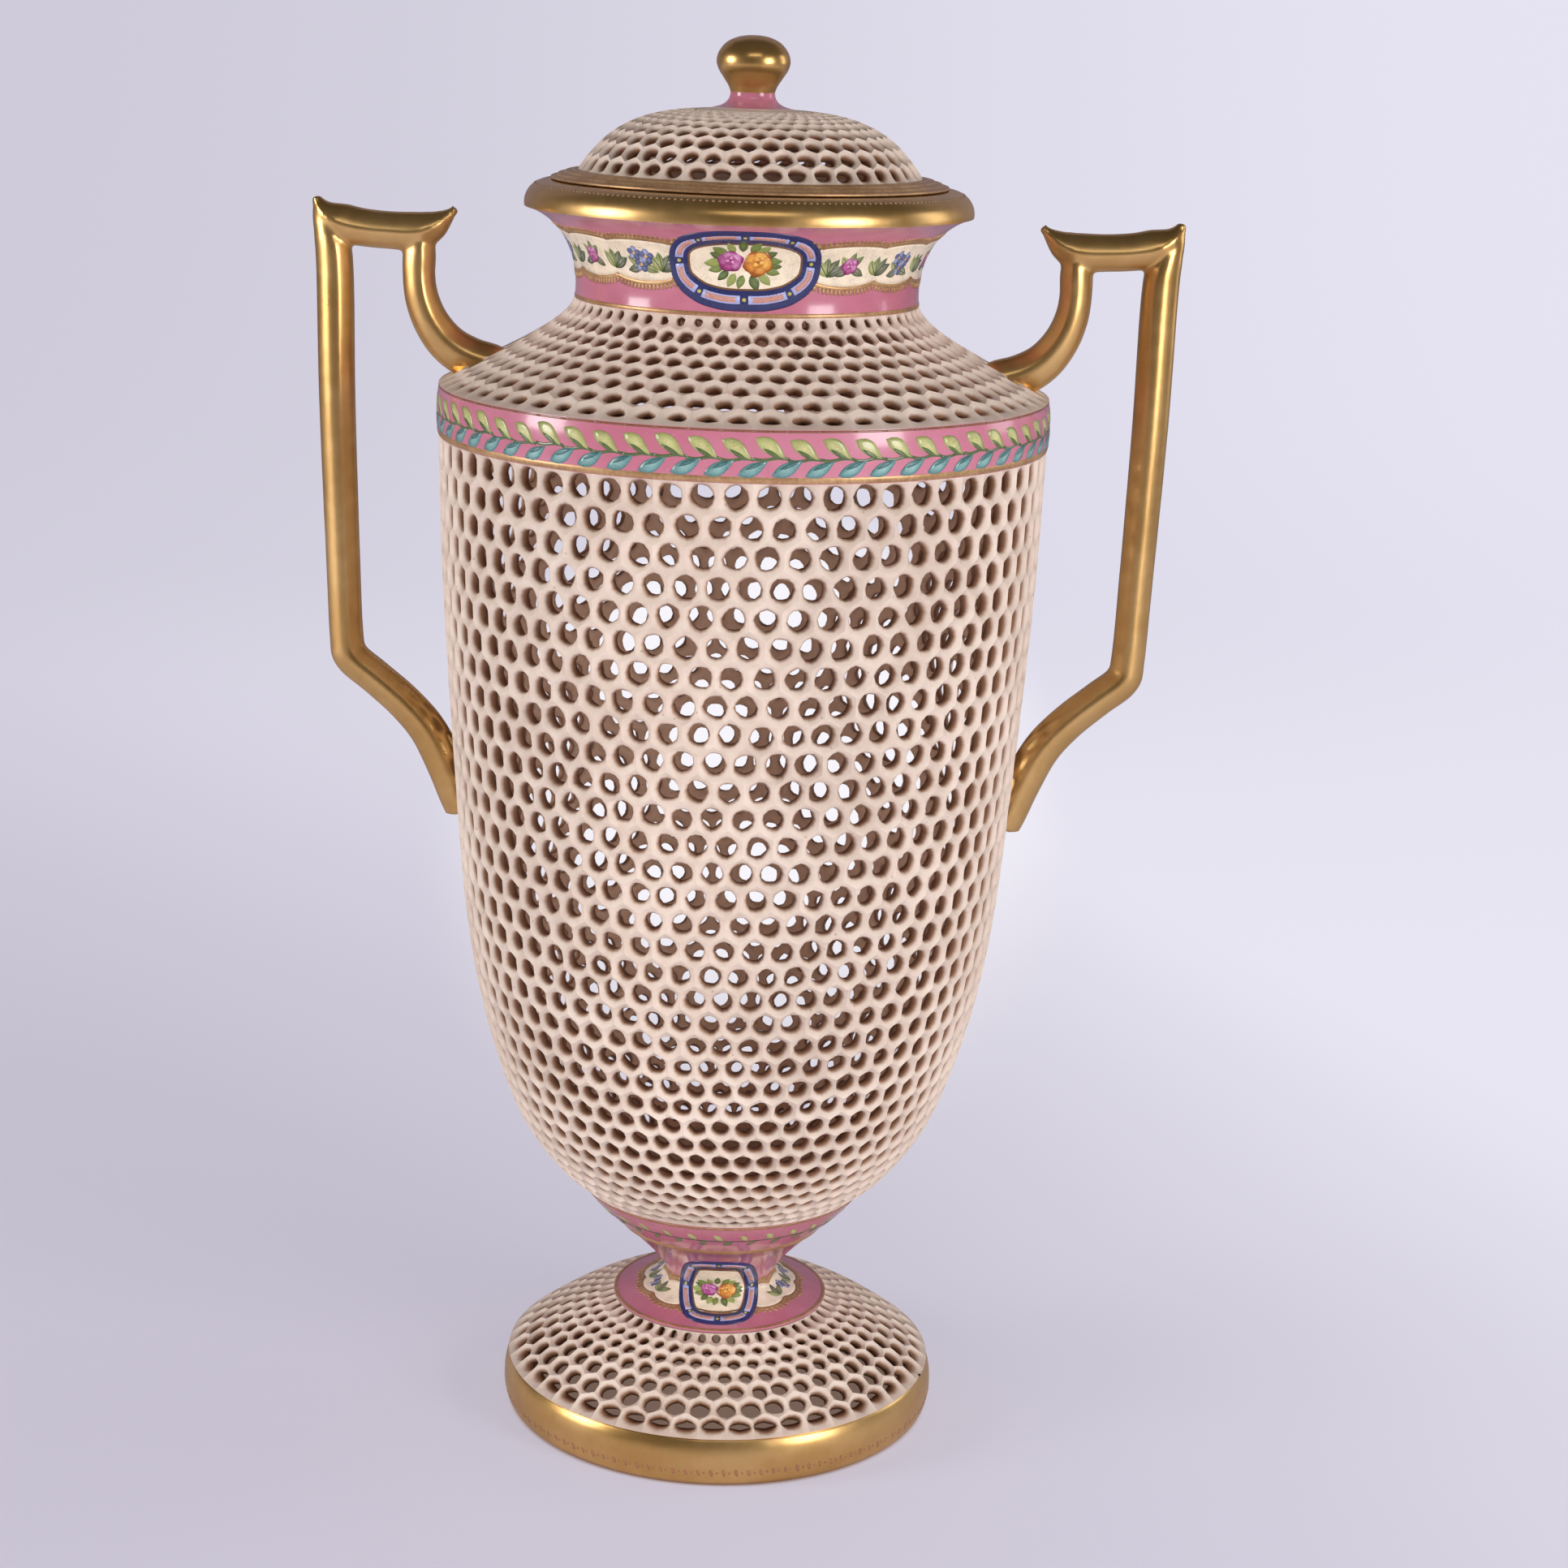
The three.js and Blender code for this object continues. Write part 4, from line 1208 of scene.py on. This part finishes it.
HANDLE_RISE = 39.4
HANDLE_DROP = 101
BAR_WIDTH = 8.2
BAR_DEPTH = 9.4
BAR_SIDES = 24
BAR_LEAST = 0.24
SKIN_GRAIN = 0.5
LET_IN = 0.8


def handle_place(out, up):
    return BODY_RADIUS + HANDLE_REACH * out, BAND_TOP + up * (HANDLE_RISE if up > 0 else HANDLE_DROP)


def keeled_bar(shape, stations, ridge):
    """Adds a bar whose faces meet in a soft keel, which lies to one side of the middle."""
    run = spline([(*handle_place(out, up), width) for out, up, width in stations], 6)
    rings = []
    for k, (x, z, share) in enumerate(run):
        before = run[max(k - 1, 0)]
        after = run[min(k + 1, len(run) - 1)]
        along = Vector((after[0] - before[0], after[1] - before[1])).normalized()
        across = Vector((along.y, -along.x))
        share = max(share, BAR_LEAST)
        depth = min(1, share) ** 0.7 * BAR_DEPTH / 2
        ring = []
        for side in range(BAR_SIDES):
            angle = TURN * side / BAR_SIDES
            wide = math.cos(angle)
            lean = abs(wide - ridge) / (1 + ridge * (1 if wide < ridge else -1))
            deep = math.copysign(abs(math.sin(angle)) ** 0.8, math.sin(angle)) * (1 - 0.3 * lean)
            offset = wide * share * BAR_WIDTH / 2
            place = ((x + across.x * offset) * MM, deep * depth * MM, (z + across.y * offset) * MM)
            ring.append(shape.verts.new(place))
        rings.append(ring)
    for low, high in zip(rings, rings[1:]):
        for corners in strip(low, high):
            shape.faces.new(corners)
    shape.faces.new(rings[0])
    shape.faces.new(rings[-1])


def handle(name, side, node):
    """One handle, its bars joined in one skin and its ends let a little into the jar."""
    shape = bmesh.new()
    for stations, ridge in ((GRIP, 0.2), (TOP_BAR, 0.0), (SCROLL, 0.2)):
        keeled_bar(shape, stations, ridge)
    bmesh.ops.recalc_face_normals(shape, faces=shape.faces)
    mesh = bpy.data.meshes.new(name)
    shape.to_mesh(mesh)
    shape.free()
    obj = new_piece(name, mesh)
    skin = obj.modifiers.new("skin", "REMESH")
    skin.mode = "VOXEL"
    skin.voxel_size = SKIN_GRAIN * MM
    soften = obj.modifiers.new("soften", "SMOOTH")
    soften.iterations = 6
    soften.factor = 0.5
    made_plain(obj)
    mesh = obj.data
    places = np.empty(len(mesh.vertices) * 3)
    mesh.vertices.foreach_get("co", places)
    places = places.reshape(-1, 3) / MM
    wall = joined(body_curve, band_curve, shoulder_curve)
    face = np.interp(places[:, 2], wall[:, 1], wall[:, 0]) - LET_IN
    radius = np.hypot(places[:, 0], places[:, 1])
    push = np.maximum(face / np.maximum(radius, 1), 1)
    places[:, :2] *= side * push[:, None]
    mesh.vertices.foreach_set("co", (places * MM).ravel())
    mesh.materials.clear()
    mesh.materials.append(GILT)
    smooth_mesh(mesh, 60)
    keep(obj, "jar", "burnished_gilding", node)


handle("right_handle", 1, "handle_right")
handle("left_handle", -1, "handle_left")


# The room: a pale seamless sheet under and behind, soft boxes on all sides and dim warm walls

FOOT_EDGE = (0.0495, 0.0515)
POOL_MIDDLE = 0.75
POOL_WIDTH = 0.15
POOL_DEPTH = 0.65


def sheet_material():
    sheet = Finish("pale_sheet", 3.0, 0.2)
    paper = sheet.ground(0.3, 0.7, rgba(222, 217, 231), rgba(226, 222, 236))
    place = sheet.object_place()
    x, y, _ = sheet.split(place)
    off_axis = sheet.get("ShaderNodeVectorMath", {0: place}, "Value", operation="LENGTH")
    # Painted shade: the sheet's own colour turns darker and warm under the foot
    under = sheet.spread(off_axis, *FOOT_EDGE, 1.0, 0.0)
    foot_shade = rgba(176, 146, 130)
    sheet.give(sheet.shader.inputs["Base Color"], sheet.mixed(under, paper, foot_shade))
    sheet.shader.inputs["Roughness"].default_value = 0.9
    sheet.shader.inputs["Specular IOR Level"].default_value = 0.1

    # What the camera sees of it glows a little as painted light: lighter to the right and towards the
    # back, most in a painted pool of light behind the jar, and warm and darker under the foot as painted
    # shade, where it shows through the holes
    behind = sheet.mixed(sheet.spread(x, -0.7, 0.7), rgba(207, 203, 218), rgba(229, 227, 241))
    near = sheet.mixed(sheet.spread(y + x * 2.0, -0.3, 0.8), rgba(209, 204, 221), rgba(233, 230, 243))
    behind = sheet.mixed(sheet.spread(y, 0.3, 1.1), near, behind)
    wide = sheet.calc("POWER", x / POOL_WIDTH, 2.0)
    deep = sheet.calc("POWER", (y - POOL_MIDDLE) / POOL_DEPTH, 2.0)
    pool = sheet.spread(wide + deep, 0.25, 1.0, 1.0, 0.0)
    behind = sheet.mixed(pool, behind, rgba(248, 246, 252))
    glow = sheet.get("ShaderNodeEmission", {"Color": sheet.mixed(under, behind, foot_shade)})
    seen = sheet.get("ShaderNodeLightPath", output="Is Camera Ray")
    share = sheet.spread(y, -0.3, 0.8, 0.5, 1.0) + sheet.spread(x, 0.0, 0.4, 0.0, 0.4)
    share = sheet.calc("MINIMUM", sheet.calc("MAXIMUM", share, pool), 1.0)
    share = seen * (share * sheet.spread(under, 0.0, 1.0, 1.0, 0.6))
    lit = Wire(sheet, sheet.shader.outputs[0])
    both = sheet.get("ShaderNodeMixShader", {0: share, 1: lit, 2: glow})
    sheet.give(sheet.tree.nodes["Material Output"].inputs["Surface"], both)
    return sheet.material


sweep = joined([(-1.6, 0)], bezier([(1.5, 0), (2.2, 0), (2.2, 0.7)], 16), [(2.2, 3)])
sheet_faces = [(k, k + 1, k + 3, k + 2) for k in range(0, 2 * len(sweep) - 2, 2)]
sheet_places = [(x, y, z) for y, z in sweep for x in (-3, 3)]
sheet_mesh = new_mesh("pale_sheet", sheet_places, sheet_faces, sheet_material())
smooth_mesh(sheet_mesh)
new_piece("pale_sheet", sheet_mesh)

LIT_PLACE = Vector((0, 0, 0.17))


def soft_box(name, place, size, power, mirrored=True):
    """A light turned to the jar; one that isn't mirrored leaves no highlight on the gilding."""
    light = bpy.data.lights.new(name, "AREA")
    light.shape = "RECTANGLE"
    light.size, light.size_y = size
    light.energy = power
    obj = bpy.data.objects.new(name, light)
    scene.collection.objects.link(obj)
    obj.location = place
    obj.visible_glossy = mirrored
    obj.rotation_euler = (LIT_PLACE - Vector(place)).to_track_quat("-Z", "Y").to_euler()


soft_box("left_box", (-1.05, -0.3, 0.42), (0.34, 0.5), 6.2)
soft_box("right_box", (0.82, -0.68, 0.42), (0.34, 0.5), 5.8)
soft_box("far_right_box", (1.05, 0.34, 0.45), (0.3, 0.6), 1.4)
soft_box("high_box", (0.08, -0.75, 0.95), (0.6, 0.15), 0.8)
soft_box("overhead_box", (0, 0, 1.5), (1.8, 1.8), 1.0, mirrored=False)
soft_box("front_box", (-0.2, -0.9, 0.05), (0.8, 0.3), 1.1, mirrored=False)
soft_box("low_box", (0, -0.38, 0.08), (0.5, 0.12), 0.42, mirrored=False)

world = bpy.data.worlds.new("room")
scene.world = world
world.use_nodes = True
room = Tree(world.node_tree)
height = room.split(room.get("ShaderNodeTexCoord", output="Generated"))[2]
mirror_low = (0.11, 0.097, 0.083, 1)
mirror_high = (0.036, 0.031, 0.026, 1)
mirrored = room.mixed(room.spread(height, -0.1, 0.7), mirror_low, mirror_high)
fill_low = (0.42, 0.402, 0.438, 1)
fill_high = (0.1, 0.096, 0.104, 1)
fill = room.mixed(room.spread(height, 0.0, 0.8), fill_low, fill_high)
glossy = room.get("ShaderNodeLightPath", output="Is Glossy Ray")
room.give(room.tree.nodes["Background"].inputs["Color"], room.mixed(glossy, fill, mirrored))

CAMERA_PLACE = (0.0107, -0.6841, 0.3316)
CAMERA_PAN = 0.09
CAMERA_PITCH = 14.548
CAMERA_ROLL = 1.8425
camera_data = bpy.data.cameras.new("camera")
camera_data.sensor_width = 36
camera_data.lens = 69.55
camera = bpy.data.objects.new("camera", camera_data)
scene.collection.objects.link(camera)
camera.matrix_world = (
    Matrix.Translation(CAMERA_PLACE)
    @ Matrix.Rotation(math.radians(-CAMERA_PAN), 4, "Z")
    @ Matrix.Rotation(math.radians(90 - CAMERA_PITCH), 4, "X")
    @ Matrix.Rotation(math.radians(CAMERA_ROLL), 4, "Z")
)
scene.camera = camera
scene.view_settings.view_transform = "Standard"
